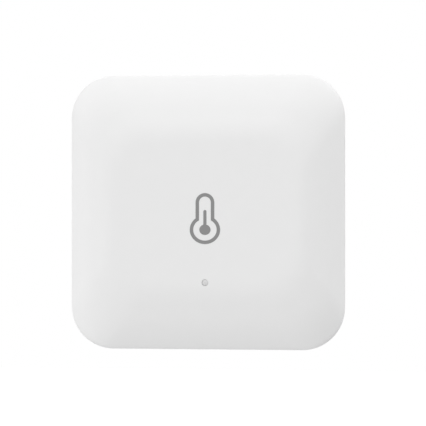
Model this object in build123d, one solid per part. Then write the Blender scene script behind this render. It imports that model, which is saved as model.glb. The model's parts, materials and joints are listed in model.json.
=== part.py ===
from build123d import *

import os
from math import cos, radians, sin, tan

# Temperature and humidity sensor for a wall, in millimetres and degrees.
# Each piece is drawn lying on its back: X to the right, Y up the wall, Z from the wall to the face.
# The last step stands every piece up, so that +Z is up and the face looks along -Y.

# Case
body_side = 43.0  # outline, across the rear edge of the case
body_depth = 14.0  # wall to face
corner_radius = 6.6
case_wall = 1.5
side_draft = 0.15  # how far each side draws in towards the rim
shoulder_end = 10.6  # rim to the flat middle of the face, at top and bottom
shoulder_side = 7.5  # the same at left and right
flat_corner_radius = 6.0
rim_radius = 1.0
edge_angle = 38.0  # slope where the rim's arc ends
edge_width = 5.1  # width of the slow turn from there to the shoulder
shoulder_angle = 13.0
shoulder_blend = 3.4  # width of the soft turn between shoulder and flat
parting_gap = 0.2  # between case and wall plate
cut_overrun = 1.0  # how far a cutting shape runs past the piece it cuts

# Wall plate and its pad
pad_side = 29.0
pad_corner = 4.0
pad_thickness = 0.8
pad_recess = 0.4
pad_margin = 0.3
plate_inset = 0.2  # each side of the plate stands back from the case
plate_floor = 1.6
plate_edge = 2.2  # thickness of the plate at its outer edge
plate_round = 0.9
lip_gap = 0.15
lip_wall = 1.0
lip_height = 1.6
hook_width = 5.0
hook_spacing = 18.0
hook_room = 2.4  # hook's tip to the rim
hook_setback = 0.6  # hook's outer face to the case wall
hook_tip_gap = 0.15
catch_depth = 0.5
notch_width = 8.0
notch_height = 1.0
notch_depth = 0.9

# Coin cell, a 24.5 mm one, 5 mm thick: it fills the room that the board leaves
cell_side_room = 6.25  # cell to the board's edge
cell_shell = 0.3
cell_lip_width = 1.05
gasket_wall = 0.35
cell_cap_stand = 0.4
cell_cap_depth = 1.6
cushion_radius = 5.0
cushion_thickness = 0.4
cell_play = 0.1

# Circuit board
board_thickness = 1.0
board_gap = 1.35  # board's edge to the case wall
board_corner = 4.0
contact_room = 1.0  # cell to board
relief_slot = 0.8
relief_length = 6.0

# Screws
screw_radius = 0.8
screw_length = 3.0
screw_head_radius = 1.5
screw_head_height = 1.0
screw_head_round = 0.3
screw_tip_bevel = 0.3
cross_width = 0.45
cross_length = 1.7
cross_depth = 0.55
boss_radius = 2.1
boss_edge = 3.8  # screw axis to the board's edge
screw_clearance = 0.1

# Cell holder and contacts
holder_gap = 0.2
holder_wall = 1.0
holder_lift = 2.0  # holder's wall starts this far down the cell
holder_floor = 0.6
finger_notch = 9.0
contact_metal = 0.2
contact_gap = 0.1
clip_width = 6.0
clip_margin = 0.5
clip_foot = 3.4
clip_overhang = 0.7
spring_length = 10.0
spring_ramp_length = 1.8
spring_crest_length = 2.8
spring_width = 3.0

# Light pipe and lamp, at the flat's lower edge
light_hole_radius = 0.5
light_fit = 0.02
light_sink = 0.1
pipe_stem_radius = 0.9
pipe_flange_radius = 1.2
pipe_flange_height = 0.6
pipe_gap = 0.2
collar_fit = 0.1
collar_wall = 0.8
collar_height = 1.7
lamp_length = 1.6
lamp_width = 0.8
lamp_height = 0.6
lamp_window = 1.1

# Sign on the face
sign_drop = 1.0  # face's centre down to the sign's
sign_height = 7.88
sign_tube_width = 2.87
sign_bulb_radius = 2.33
sign_line = 0.53
sign_stem_width = 0.48
sign_stem_top = 2.58  # stem's end below the sign's top
sign_ball_radius = 0.83
sign_depth = 0.2

# Air vents, and the sensor behind them
vent_count = 7
vent_pitch = 2.0
vent_width = 0.9
vent_rear = 4.7
vent_room = 1.3  # vents to the rim
sensor_side = 2.5
sensor_height = 0.9
sensor_window_radius = 0.5
sensor_window_depth = 0.3
sensor_edge = 0.85  # sensor to the board's edge

# Reset switch and its pinhole
switch_length = 2.6
switch_width = 4.4
switch_height = 1.7
plunger_room_behind = 0.4
switch_cover = 0.15
plunger_width = 1.9
plunger_height = 0.8
plunger_length = 1.7
plunger_stand = 0.7
plunger_fit = 0.08
pinhole_radius = 0.75

# Radio module
module_width = 16.0
module_length = 14.0
module_thickness = 0.8
module_edge = 1.0  # module to the board's top edge
shield_width = 12.4
antenna_length = 4.7  # bare end of the module beside the shield
shield_height = 1.8
shield_headroom = 0.4
shield_wall = 0.2
shield_margin = 0.7
shield_corner = 0.4
radio_side = 5.0
radio_height = 0.9

# Small parts on the board's front
crystal_width = 3.2
crystal_length = 2.5
crystal_height = 0.7
crystal_corner = 0.4
buffer_width = 3.5
buffer_length = 2.8
buffer_height = 1.9
chip_length = 1.6
chip_width = 0.8
capacitor_height = 0.8
resistor_height = 0.45
chip_pitch = 1.5
chip_row_gap = 0.6
capacitor_count = 5
resistor_count = 6

# Steps of the rounded stretches of the crown
rim_steps = 4
edge_steps = 4
blend_steps = 4

# The crown, seen at the top and bottom: rim arc, slow turn, straight shoulder, soft blend, flat
upright = radians(90)
steep = radians(edge_angle)
slope = radians(shoulder_angle)
rim_width = rim_radius * (1 - sin(steep))
rim_rise = rim_radius * cos(steep)
edge_radius = edge_width / (sin(steep) - sin(slope))
edge_rise = edge_radius * (cos(slope) - cos(steep))
straight_rise = (shoulder_end - rim_width - edge_width - shoulder_blend) * tan(slope)
blend_radius = shoulder_blend / sin(slope)
crown_rise = rim_rise + edge_rise + straight_rise + blend_radius * (1 - cos(slope))
rim_level = body_depth - crown_rise

# Levels between wall and face
plate_rear = pad_thickness - pad_recess
plate_inside = plate_rear + plate_floor
plate_front = plate_rear + plate_edge
shell_rear = plate_front + parting_gap
cell_rear = plate_inside + cushion_thickness + cell_play
face_inside = body_depth - case_wall
board_front = face_inside - shield_headroom - shield_height - module_thickness
board_rear = board_front - board_thickness
cell_front = board_rear - contact_room
holder_rear = cell_rear + holder_lift
lamp_front = board_front + lamp_height
lip_front = plate_front + lip_height
hook_top = rim_level - hook_room
vent_length = rim_level - vent_room - vent_rear

# Sides and places that follow from them
rim_side = body_side - 2 * side_draft
rim_corner = corner_radius - side_draft
cavity_half = body_side / 2 - case_wall
board_side = rim_side - 2 * (case_wall + board_gap)
board_half = board_side / 2
flat_width = rim_side - 2 * shoulder_side
flat_height = rim_side - 2 * shoulder_end
light_y = -flat_height / 2
cell_radius = board_half - cell_side_room
cell_lip_radius = cell_radius - cell_lip_width
cell_cap_radius = cell_lip_radius - gasket_wall
shield_length = module_length - shield_margin - antenna_length
holder_inner = cell_radius + holder_gap
holder_outer = holder_inner + holder_wall
screw_place = board_half - boss_edge
sensor_place = board_half - sensor_edge - sensor_side / 2
switch_middle = board_rear - switch_height / 2
collar_inner = pipe_flange_radius + collar_fit
collar_outer = collar_inner + collar_wall
hook_face = cavity_half - hook_setback
bead_radius = hook_setback - hook_tip_gap
bead_level = hook_top - bead_radius


def slab(width, length, rear, front, x=0, y=0, corner=0):
    # A flat piece between two levels, with rounded corners where a radius is given
    outline = RectangleRounded(width, length, corner) if corner else Rectangle(width, length)
    return extrude(Pos(x, y, rear) * outline, front - rear)


def disc(radius, rear, front, x=0, y=0):
    return extrude(Pos(x, y, rear) * Circle(radius), front - rear)


def ring(inner, outer, rear, front, x=0, y=0):
    return disc(outer, rear, front, x, y) - disc(inner, rear, front, x, y)


def rounded_slot(width, length, thickness):
    # A plate with half-round ends, standing along Y, centred
    outline = Rot(0, 0, 90) * SlotOverall(length, width)
    return extrude(outline, thickness / 2, both=True)


def crown_section(inset, rise, tilt, skin):
    # One level of the crown, drawn in by a skin measured square to the surface
    inward = skin * sin(tilt)
    share = inset / shoulder_end
    width = rim_side - 2 * (share * shoulder_side + inward)
    height = rim_side - 2 * (inset + inward)
    radius = rim_corner + (flat_corner_radius - rim_corner) * share - inward
    return Pos(0, 0, rim_level + rise - skin * cos(tilt)) * RectangleRounded(width, height, radius)


def rim_section(tilt):
    return crown_section(rim_radius * (1 - sin(tilt)), rim_radius * cos(tilt), tilt, 0)


def edge_section(tilt, skin):
    inset = rim_width + edge_radius * (sin(steep) - sin(tilt))
    rise = rim_rise + edge_radius * (cos(tilt) - cos(steep))
    return crown_section(inset, rise, tilt, skin)


def blend_section(tilt, skin):
    inset = shoulder_end - blend_radius * sin(tilt)
    rise = crown_rise - blend_radius * (1 - cos(tilt))
    return crown_section(inset, rise, tilt, skin)


def crown(skin):
    # From the end of the rim's arc to the flat
    edge_tilts = [steep + (slope - steep) * k / edge_steps for k in range(edge_steps + 1)]
    blend_tilts = [slope * (1 - k / blend_steps) for k in range(blend_steps + 1)]
    edge = loft([edge_section(tilt, skin) for tilt in edge_tilts])
    shoulder = loft([edge_section(slope, skin), blend_section(slope, skin)], ruled=True)
    blend = loft([blend_section(tilt, skin) for tilt in blend_tilts])
    return edge + shoulder + blend


def outer_block():
    foot = Pos(0, 0, shell_rear) * RectangleRounded(body_side, body_side, corner_radius)
    rim_tilts = [upright + (steep - upright) * k / rim_steps for k in range(rim_steps + 1)]
    sides = loft([foot, rim_section(upright)], ruled=True)
    rim = loft([rim_section(tilt) for tilt in rim_tilts])
    return sides + rim + crown(0)


def cavity():
    # Straight up inside the walls, and under the crown by the wall's thickness
    rear = shell_rear - cut_overrun
    mouth_side = 2 * cavity_half
    top_side = rim_side - 2 * case_wall
    mouth = Pos(0, 0, rear) * RectangleRounded(mouth_side, mouth_side, corner_radius - case_wall)
    top = Pos(0, 0, body_depth) * RectangleRounded(top_side, top_side, rim_corner - case_wall)
    lowest = edge_section(steep, case_wall)
    column = extrude(lowest, rear - rim_level, dir=(0, 0, 1))
    return loft([mouth, top], ruled=True) & (column + crown(case_wall))


def screw_places():
    return [(x, y) for x in (-screw_place, screw_place) for y in (-screw_place, screw_place)]


def hook_places():
    # Middle of each hook along X, and the side of the case it stands at
    return [(x, side) for x in (-hook_spacing / 2, hook_spacing / 2) for side in (-1, 1)]


def bead(radius, length, x, y, level):
    return Pos(x, y, level) * Rot(0, 90, 0) * Cylinder(radius, length)


def front_shell():
    outer = outer_block()
    shell = outer - cavity()
    for x, y in screw_places():
        shell += disc(boss_radius, board_front, body_depth, x, y) & outer
    collar_rear = face_inside - collar_height
    shell += disc(collar_outer, collar_rear, body_depth, 0, light_y) & outer
    shell -= disc(collar_inner, collar_rear - cut_overrun, face_inside, 0, light_y)
    for x, y in screw_places():
        shell -= disc(screw_radius, board_front - cut_overrun, board_rear + screw_length, x, y)
    shell -= disc(light_hole_radius, face_inside - cut_overrun, body_depth + cut_overrun, 0, light_y)
    for x, side in hook_places():
        catch_length = hook_width + 2 * hook_tip_gap
        shell -= bead(hook_setback + catch_depth, catch_length, x, side * hook_face, bead_level)
    for k in range(vent_count):
        y = (k - (vent_count - 1) / 2) * vent_pitch
        slot = rounded_slot(vent_width, vent_length, case_wall + 2 * cut_overrun)
        middle = Pos(case_wall / 2 - body_side / 2, y, vent_rear + vent_length / 2)
        shell -= middle * Rot(0, 90, 0) * Rot(0, 0, 90) * slot
    pinhole = Rot(0, 90, 0) * Cylinder(pinhole_radius, case_wall + 2 * cut_overrun)
    shell -= Pos(body_side / 2 - case_wall / 2, 0, switch_middle) * pinhole
    notch_middle = (notch_depth - cut_overrun - body_side) / 2
    notch = slab(notch_width, notch_depth + cut_overrun, shell_rear - cut_overrun, shell_rear + notch_height)
    shell -= Pos(0, notch_middle, 0) * notch
    return shell - symbol_outline() - symbol_stem()


def sign_outline(inset):
    # Tube with a round top, standing on a round bulb
    top = sign_height / 2
    radius = sign_tube_width / 2 - inset
    bulb_y = sign_bulb_radius - top
    tube_top = top - sign_tube_width / 2
    middle = (tube_top + bulb_y) / 2
    tube = Pos(0, middle, 0) * Rectangle(2 * radius, tube_top - bulb_y)
    return tube + Pos(0, tube_top, 0) * Circle(radius) + Pos(0, bulb_y, 0) * Circle(sign_bulb_radius - inset)


def symbol_outline():
    line = sign_outline(0) - sign_outline(sign_line)
    return extrude(Pos(0, -sign_drop, body_depth - sign_depth) * line, sign_depth)


def symbol_stem():
    bulb_y = sign_bulb_radius - sign_height / 2
    stem_top = sign_height / 2 - sign_stem_top - sign_stem_width / 2
    middle = (stem_top + bulb_y) / 2
    stem = Pos(0, middle, 0) * Rectangle(sign_stem_width, stem_top - bulb_y)
    stem += Pos(0, stem_top, 0) * Circle(sign_stem_width / 2)
    stem += Pos(0, bulb_y, 0) * Circle(sign_ball_radius)
    return extrude(Pos(0, -sign_drop, body_depth - sign_depth) * stem, sign_depth)


def back_plate():
    side = body_side - 2 * plate_inset
    plate = slab(side, side, plate_rear, plate_front, corner=corner_radius - plate_inset)
    plate = fillet(plate.faces().sort_by(Axis.Z)[0].edges(), plate_round)
    lip_half = cavity_half - lip_gap
    lip_corner = corner_radius - case_wall - lip_gap
    inner_side = 2 * (lip_half - lip_wall)
    plate += slab(2 * lip_half, 2 * lip_half, plate_inside, lip_front, corner=lip_corner)
    plate -= slab(inner_side, inner_side, plate_inside, lip_front + cut_overrun, corner=lip_corner - lip_wall)
    recess_side = pad_side + 2 * pad_margin
    recess_front = plate_rear + pad_recess
    recess_corner = pad_corner + pad_margin
    plate -= slab(recess_side, recess_side, plate_rear - cut_overrun, recess_front, corner=recess_corner)
    for x, side_sign in hook_places():
        y = side_sign * (hook_face - lip_wall / 2)
        plate += slab(hook_width, lip_wall, plate_inside, hook_top, x, y)
        plate += bead(bead_radius, hook_width, x, side_sign * hook_face, bead_level)
    return plate


def adhesive_pad():
    return slab(pad_side, pad_side, 0, pad_thickness, corner=pad_corner)


def cell_cushion():
    return disc(cushion_radius, plate_inside, plate_inside + cushion_thickness)


def cell_can():
    rim_front = cell_front - cell_cap_stand
    can = disc(cell_radius, cell_rear, rim_front)
    can = fillet(can.edges(), cell_shell)
    can -= disc(cell_radius - cell_shell, cell_rear + cell_shell, rim_front - cell_shell)
    return can - disc(cell_lip_radius, rim_front - 2 * cell_shell, rim_front + cut_overrun)


def cell_gasket():
    seal_front = cell_front - cell_cap_stand + (cell_lip_radius - cell_cap_radius) / 2
    return ring(cell_cap_radius, cell_lip_radius, cell_front - cell_cap_depth, seal_front)


def cell_cap():
    cap = disc(cell_cap_radius, cell_front - cell_cap_depth, cell_front)
    cap = fillet(cap.faces().sort_by(Axis.Z)[-1].edges(), cell_shell)
    hollow_rear = cell_front - cell_cap_depth - cut_overrun
    return cap - disc(cell_cap_radius - cell_shell, hollow_rear, cell_front - cell_shell)


def relief_slots():
    # Two slots in the board keep its warmth from the sensor
    inner = sensor_place - sensor_side / 2 - relief_slot
    upright = slab(relief_slot, relief_length, board_rear - cut_overrun, board_front + cut_overrun, -inner, 0)
    reach = board_half - inner + relief_slot / 2 + cut_overrun
    x = -inner + relief_slot / 2 - reach / 2
    y = (relief_slot - relief_length) / 2
    return upright + slab(reach, relief_slot, board_rear - cut_overrun, board_front + cut_overrun, x, y)


def circuit_board():
    board = slab(board_side, board_side, board_rear, board_front, corner=board_corner)
    for x, y in screw_places():
        hole = screw_radius + screw_clearance
        board -= disc(hole, board_rear - cut_overrun, board_front + cut_overrun, x, y)
    return board - relief_slots()


def board_screw(x, y):
    head_rear = board_rear - screw_head_height
    head = disc(screw_head_radius, head_rear, board_rear, x, y)
    head = fillet(head.faces().sort_by(Axis.Z)[0].edges(), screw_head_round)
    shank = disc(screw_radius, board_rear, board_rear + screw_length, x, y)
    shank = chamfer(shank.faces().sort_by(Axis.Z)[-1].edges(), screw_tip_bevel)
    cross_front = head_rear + cross_depth
    cross = slab(cross_width, cross_length, head_rear - cut_overrun, cross_front, x, y)
    cross += slab(cross_length, cross_width, head_rear - cut_overrun, cross_front, x, y)
    return head + shank - cross


def cell_holder():
    holder = ring(holder_inner, holder_outer, holder_rear, board_rear)
    holder += disc(holder_outer, board_rear - holder_floor, board_rear)
    window_length = spring_length + 2 * clip_margin
    window_width = spring_width + 2 * clip_margin
    floor_rear = board_rear - holder_floor
    holder -= slab(window_length, window_width, floor_rear - cut_overrun, board_rear + cut_overrun)
    gate_length = 2 * holder_wall + 2 * holder_gap
    gate_width = clip_width + 2 * clip_margin
    gate_y = cell_radius + gate_length / 2 - holder_gap
    holder -= slab(gate_width, gate_length, holder_rear - cut_overrun, board_rear + cut_overrun, 0, gate_y)
    return holder - slab(finger_notch, gate_length, holder_rear - cut_overrun, floor_rear, 0, -gate_y)


def positive_contact():
    leg_y = cell_radius + contact_gap + contact_metal / 2
    leg = slab(clip_width, contact_metal, holder_rear - clip_overhang, board_rear, 0, leg_y)
    foot_y = leg_y + (clip_foot - contact_metal) / 2
    return leg + slab(clip_width, clip_foot, board_rear - contact_metal, board_rear, 0, foot_y)


def negative_contact():
    end = spring_length / 2
    crest_end = spring_crest_length / 2
    ramp_end = crest_end + spring_ramp_length
    crest = cell_front + contact_gap
    foot = board_rear - contact_metal
    rear_line = [(-end, foot), (-ramp_end, foot), (-crest_end, crest)]
    front_line = [(x, level + contact_metal) for x, level in rear_line]
    mirrored = [(-x, level) for x, level in reversed(rear_line)]
    mirrored_front = [(-x, level) for x, level in front_line]
    outline = make_face(Polyline(*rear_line, *mirrored, *mirrored_front, *reversed(front_line), close=True))
    return extrude(Plane.XZ * outline, spring_width / 2, both=True)


def light_pipe():
    flange_rear = face_inside - pipe_flange_height
    pipe = disc(pipe_stem_radius, lamp_front + pipe_gap, flange_rear, 0, light_y)
    pipe += disc(pipe_flange_radius, flange_rear, face_inside, 0, light_y)
    return pipe + disc(light_hole_radius - light_fit, face_inside, body_depth - light_sink, 0, light_y)


def status_led():
    base_front = board_front + lamp_height / 2
    lamp = slab(lamp_length, lamp_width, board_front, base_front, 0, light_y)
    return lamp + slab(lamp_window, lamp_width, base_front, lamp_front, 0, light_y)


def sensor_chip():
    rear = board_rear - sensor_height
    chip = slab(sensor_side, sensor_side, rear, board_rear, -sensor_place, 0)
    return chip - disc(sensor_window_radius, rear - cut_overrun, rear + sensor_window_depth, -sensor_place, 0)


def plunger_room(fit):
    # The plunger's own size, widened by a fit on each side
    length = plunger_length + fit
    x = board_half + plunger_stand - length / 2
    width = plunger_width + 2 * fit
    half_height = plunger_height / 2 + fit
    return slab(length, width, switch_middle - half_height, switch_middle + half_height, x, 0)


def reset_switch_body():
    x = board_half - switch_length / 2
    body = slab(switch_length, switch_width, board_rear - switch_height, board_rear, x, 0)
    travel_room = Pos(-plunger_room_behind, 0, 0) * plunger_room(plunger_fit)
    return body - plunger_room(plunger_fit) - travel_room


def reset_switch_cover():
    # Folded sheet over the switch: a top and two legs
    x = board_half - switch_length / 2
    rear = board_rear - switch_height
    outer_width = switch_width + 2 * switch_cover
    cover = slab(switch_length, outer_width, rear - switch_cover, board_rear, x, 0)
    inside = slab(switch_length + 2 * cut_overrun, switch_width, rear, board_rear + cut_overrun, x, 0)
    return cover - inside


def reset_plunger():
    return plunger_room(0)


def module_place():
    return board_half - module_edge - module_length / 2


def shield_place():
    # The can covers the module's lower part, and its antenna stays free above
    return module_place() - module_length / 2 + shield_margin + shield_length / 2


def radio_module_board():
    front = board_front + module_thickness
    return slab(module_width, module_length, board_front, front, 0, module_place())


def radio_shield():
    rear = board_front + module_thickness
    y = shield_place()
    can = slab(shield_width, shield_length, rear, rear + shield_height, 0, y, shield_corner)
    inner_width = shield_width - 2 * shield_wall
    inner_length = shield_length - 2 * shield_wall
    inner_corner = shield_corner - shield_wall
    return can - slab(inner_width, inner_length, rear, rear + shield_height - shield_wall, 0, y, inner_corner)


def radio_chip():
    rear = board_front + module_thickness
    return slab(radio_side, radio_side, rear, rear + radio_height, 0, shield_place())


def timing_crystal():
    front = board_front + crystal_height
    x = -(lamp_length / 2 + crystal_width + chip_width)
    return slab(crystal_width, crystal_length, board_front, front, x, light_y, crystal_corner)


def buffer_capacitor():
    front = board_front + buffer_height
    x = lamp_length / 2 + buffer_width + chip_width
    return slab(buffer_width, buffer_length, board_front, front, x, light_y)


def chip_row(count, height, row):
    # Rows lie one above another, over the lamp's collar
    front = board_front + height
    first_y = light_y + collar_outer + chip_row_gap + chip_length / 2
    y = first_y + row * (chip_length + chip_row_gap)
    places = [(k - (count - 1) / 2) * chip_pitch for k in range(count)]
    return [slab(chip_width, chip_length, board_front, front, x, y) for x in places]


def chip_capacitors():
    return chip_row(capacitor_count, capacitor_height, 1)


def chip_resistors():
    return chip_row(resistor_count, resistor_height, 0)


def board_screws():
    return [board_screw(x, y) for x, y in screw_places()]


def save(name, shape):
    solids = shape if isinstance(shape, list) else [shape]
    stood = [Rot(90, 0, 0) * solid for solid in solids]
    export_step(stood[0] if len(stood) == 1 else Compound(stood), f"parts/{name}.step")


pieces = [
    adhesive_pad,
    back_plate,
    cell_cushion,
    front_shell,
    symbol_outline,
    symbol_stem,
    light_pipe,
    status_led,
    circuit_board,
    board_screws,
    radio_module_board,
    radio_shield,
    radio_chip,
    sensor_chip,
    timing_crystal,
    buffer_capacitor,
    chip_capacitors,
    chip_resistors,
    reset_switch_body,
    reset_switch_cover,
    reset_plunger,
    cell_holder,
    positive_contact,
    negative_contact,
    cell_can,
    cell_gasket,
    cell_cap,
]

os.makedirs("parts", exist_ok=True)
for piece in pieces:
    save(piece.__name__, piece())
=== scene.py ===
import json
from math import asin, cos, pi, radians, sin, sqrt, tan
from types import SimpleNamespace

import bmesh
import bpy
from mathutils import Matrix, Vector


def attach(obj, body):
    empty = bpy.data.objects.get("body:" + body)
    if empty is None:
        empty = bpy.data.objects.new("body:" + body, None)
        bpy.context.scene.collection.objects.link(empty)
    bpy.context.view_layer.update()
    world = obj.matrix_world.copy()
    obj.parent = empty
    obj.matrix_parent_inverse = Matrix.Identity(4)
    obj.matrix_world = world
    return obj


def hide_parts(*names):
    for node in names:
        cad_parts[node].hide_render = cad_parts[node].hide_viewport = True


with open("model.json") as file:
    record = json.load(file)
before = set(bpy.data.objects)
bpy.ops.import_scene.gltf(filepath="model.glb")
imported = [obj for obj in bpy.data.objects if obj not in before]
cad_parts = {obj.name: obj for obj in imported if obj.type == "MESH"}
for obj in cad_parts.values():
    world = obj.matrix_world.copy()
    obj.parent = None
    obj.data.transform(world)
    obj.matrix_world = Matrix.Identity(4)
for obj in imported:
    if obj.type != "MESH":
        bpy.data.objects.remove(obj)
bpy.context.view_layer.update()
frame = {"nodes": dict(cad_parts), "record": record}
mm = 0.001
weldDistance = 1e-7

# Everything is drawn lying on its back: x right, y up the wall, z from the wall to the face.
# "stand" turns that to the row frame, where +Z is up and the face looks along -Y.
stand = Matrix(((1, 0, 0, 0), (0, 0, -1, 0), (0, 1, 0, 0), (0, 0, 0, 1)))
sideView = Matrix(((0, 0, 1, 0), (1, 0, 0, 0), (0, 1, 0, 0), (0, 0, 0, 1)))  # drawn (a, b) becomes (y, z)
turnToSide = Matrix.Rotation(pi / 2, 4, "Y")  # lays an upright rod along x


def inMetres(lengths, **others):
    # Lengths are written in millimetres and used in metres; angles, counts and shares stay as written
    return SimpleNamespace(**{name: value * mm for name, value in lengths.items()}, **others)


# Small helpers for node trees

def addNode(tree, kind, inputs=None, **settings):
    node = tree.nodes.new(kind)
    for name, value in settings.items():
        setattr(node, name, value)
    for key, value in (inputs or {}).items():
        if isinstance(value, bpy.types.NodeSocket):
            tree.links.new(value, node.inputs[key])
        else:
            node.inputs[key].default_value = value
    return node


def calc(tree, operation, a, b=0.0, c=0.0):
    return addNode(tree, "ShaderNodeMath", {0: a, 1: b, 2: c}, operation=operation).outputs[0]


def newTree(name, kind, inputs, outputs):
    # An input is given by its first value, or by the kind of its socket where it has none
    tree = bpy.data.node_groups.new(name, kind)
    for label, value in inputs.items():
        plain = not isinstance(value, str)
        socketKind = {int: "Int", float: "Float", tuple: "Color"}[type(value)] if plain else value
        socket = tree.interface.new_socket(label, in_out="INPUT", socket_type="NodeSocket" + socketKind)
        if plain:
            socket.default_value = value
    for label, socketKind in outputs.items():
        tree.interface.new_socket(label, in_out="OUTPUT", socket_type="NodeSocket" + socketKind)
    return tree, tree.nodes.new("NodeGroupInput").outputs, tree.nodes.new("NodeGroupOutput").inputs


def finishTree(tree, given, result, shape):
    # Every geometry tree ends in real geometry with the given material
    real = addNode(tree, "GeometryNodeRealizeInstances", {0: shape}).outputs[0]
    painted = addNode(tree, "GeometryNodeSetMaterial", {0: real, "Material": given["Material"]}).outputs[0]
    tree.links.new(painted, result["Geometry"])
    return tree


def runTree(piece, tree, values):
    # Gives the piece the tree's result as a plain mesh
    modifier = piece.modifiers.new(tree.name, "NODES")
    modifier.node_group = tree
    for socket in tree.interface.items_tree:
        if socket.item_type == "SOCKET" and socket.in_out == "INPUT" and socket.name in values:
            modifier[socket.identifier] = values[socket.name]
    return baked(piece)


# Small helpers for meshes

def baked(piece):
    bpy.context.view_layer.update()
    evaluated = piece.evaluated_get(bpy.context.evaluated_depsgraph_get())
    mesh = bpy.data.meshes.new_from_object(evaluated)
    piece.modifiers.clear()
    piece.data = mesh
    return piece


def newPiece(name, points=(), edges=(), faces=()):
    mesh = bpy.data.meshes.new(name)
    mesh.from_pydata(points, edges, faces)
    piece = bpy.data.objects.new(name, mesh)
    bpy.context.scene.collection.objects.link(piece)
    return piece


def linePiece(name, points):
    return newPiece(name, points, [(k, k + 1) for k in range(len(points) - 1)])


def cleaned(piece, sharpAngle=32, closeHoles=True, recalc=True):
    # Merges doubles, closes the ends, turns faces outwards and marks the sharp edges
    shape = bmesh.new()
    shape.from_mesh(piece.data)
    bmesh.ops.remove_doubles(shape, verts=shape.verts, dist=weldDistance)
    if closeHoles:
        bmesh.ops.holes_fill(shape, edges=[e for e in shape.edges if e.is_boundary], sides=0)
    if recalc:
        bmesh.ops.recalc_face_normals(shape, faces=shape.faces)
    for face in shape.faces:
        face.smooth = True
    shape.to_mesh(piece.data)
    shape.free()
    piece.data.set_sharp_from_angle(angle=radians(sharpAngle))
    return piece


def joined(name, parts):
    # One object from several, their meshes side by side
    shape = bmesh.new()
    for part in parts:
        shape.from_mesh(part.data)
        bpy.data.objects.remove(part)
    piece = newPiece(name)
    shape.to_mesh(piece.data)
    shape.free()
    return piece


def carve(piece, tool, operation="DIFFERENCE"):
    modifier = piece.modifiers.new("carve", "BOOLEAN")
    modifier.operation = operation
    modifier.solver = "EXACT"
    modifier.use_self = False
    modifier.object = tool
    baked(piece)
    bpy.data.objects.remove(tool)
    return piece


def cutOut(piece, *cuts, sharpAngle=32):
    # Takes sets of solids out of the piece, one set after the other
    for solids in cuts:
        carve(piece, joined("tool", [cleaned(solid) for solid in solids]))
    return cleaned(piece, sharpAngle, closeHoles=False, recalc=False)


def bevelled(piece, width, segments=2, angle=40):
    modifier = piece.modifiers.new("edges", "BEVEL")
    modifier.width = width
    modifier.segments = segments
    modifier.limit_method = "ANGLE"
    modifier.angle_limit = radians(angle)
    return baked(piece)


# Flat outlines as (x, y) points

def arc(x, y, radius, start, end, steps, tall=None):
    # Round, or oval where "tall" gives the radius upwards
    angles = [start + (end - start) * k / steps for k in range(steps + 1)]
    return [(x + radius * cos(angle), y + (tall or radius) * sin(angle)) for angle in angles]


def circle(radius, x=0.0, y=0.0, steps=64):
    return arc(x, y, radius, 0, 2 * pi, steps)[:-1]


def box(x0, x1, y0, y1):
    return [(x0, y0), (x1, y0), (x1, y1), (x0, y1)]


def rectangle(width, length, x=0.0, y=0.0):
    return box(x - width / 2, x + width / 2, y - length / 2, y + length / 2)


def roundedBox(width, length, corner, x=0.0, y=0.0, steps=8):
    points = []
    for quarter, (right, up) in enumerate(((1, 1), (-1, 1), (-1, -1), (1, -1))):
        points += arc(x + right * (width / 2 - corner), y + up * (length / 2 - corner), corner,
                      pi / 2 * quarter, pi / 2 * (quarter + 1), steps)
    return points


def plusOutline(width, length):
    half, reach = width / 2, length / 2
    arm = [(half, half), (reach, half), (reach, -half)]
    quarters = (0, -pi / 2, -pi, -3 * pi / 2)
    return [(x * cos(a) - y * sin(a), x * sin(a) + y * cos(a)) for a in quarters for x, y in arm][::-1]


def fourPlaces(x, y):
    return [(-x, -y), (-x, y), (x, -y), (x, y)]


# Solids from outlines

def tube(outline, rear, front, name="tube"):
    # A closed solid between two levels
    count = len(outline)
    points = [(x, y, rear) for x, y in outline] + [(x, y, front) for x, y in outline]
    faces = [tuple(range(count))[::-1], tuple(range(count, 2 * count))]
    faces += [(k, (k + 1) % count, count + (k + 1) % count, count + k) for k in range(count)]
    return newPiece(name, points, (), faces)


def rod(radius, rear, front, x=0.0, y=0.0, steps=48):
    return tube(circle(radius, x, y, steps), rear, front)


def slab(name, outline, rear, front, edge=0.0, segments=2):
    # A solid with its edges rounded off
    piece = cleaned(tube(outline, rear, front, name))
    return cleaned(bevelled(piece, edge, segments)) if edge else piece


def lathe(name, profile, steps=64, x=0.0, y=0.0):
    # Turns (radius, level) points about an upright line; radius zero closes an end
    points, faces, rows = [], [], []
    for radius, level in profile:
        if radius <= 0:
            rows.append([len(points)])
            points.append((x, y, level))
        else:
            rows.append(list(range(len(points), len(points) + steps)))
            points += [(px, py, level) for px, py in circle(radius, x, y, steps)]
    for low, high in zip(rows, rows[1:]):
        for k in range(steps):
            after = (k + 1) % steps
            loop = [low[k % len(low)], low[after % len(low)], high[after % len(high)], high[k % len(high)]]
            faces.append(tuple(dict.fromkeys(loop)))
    return newPiece(name, points, (), faces)


def washer(inner, outer, rear, front, x, y, steps):
    profile = [(inner, rear), (outer, rear), (outer, front), (inner, front), (inner, rear)]
    return lathe("washer", profile, steps, x, y)


def moved(piece, x=0.0, y=0.0, z=0.0):
    piece.data.transform(Matrix.Translation((x, y, z)))
    return piece


def repeated(name, small, values):
    # Copies of a small piece in rows and columns; the small piece is then taken away
    piece = newPiece(name, [(0, 0, 0)])
    runTree(piece, gridOf, {"Piece": small, **values})
    bpy.data.objects.remove(small)
    return cleaned(piece)


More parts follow.
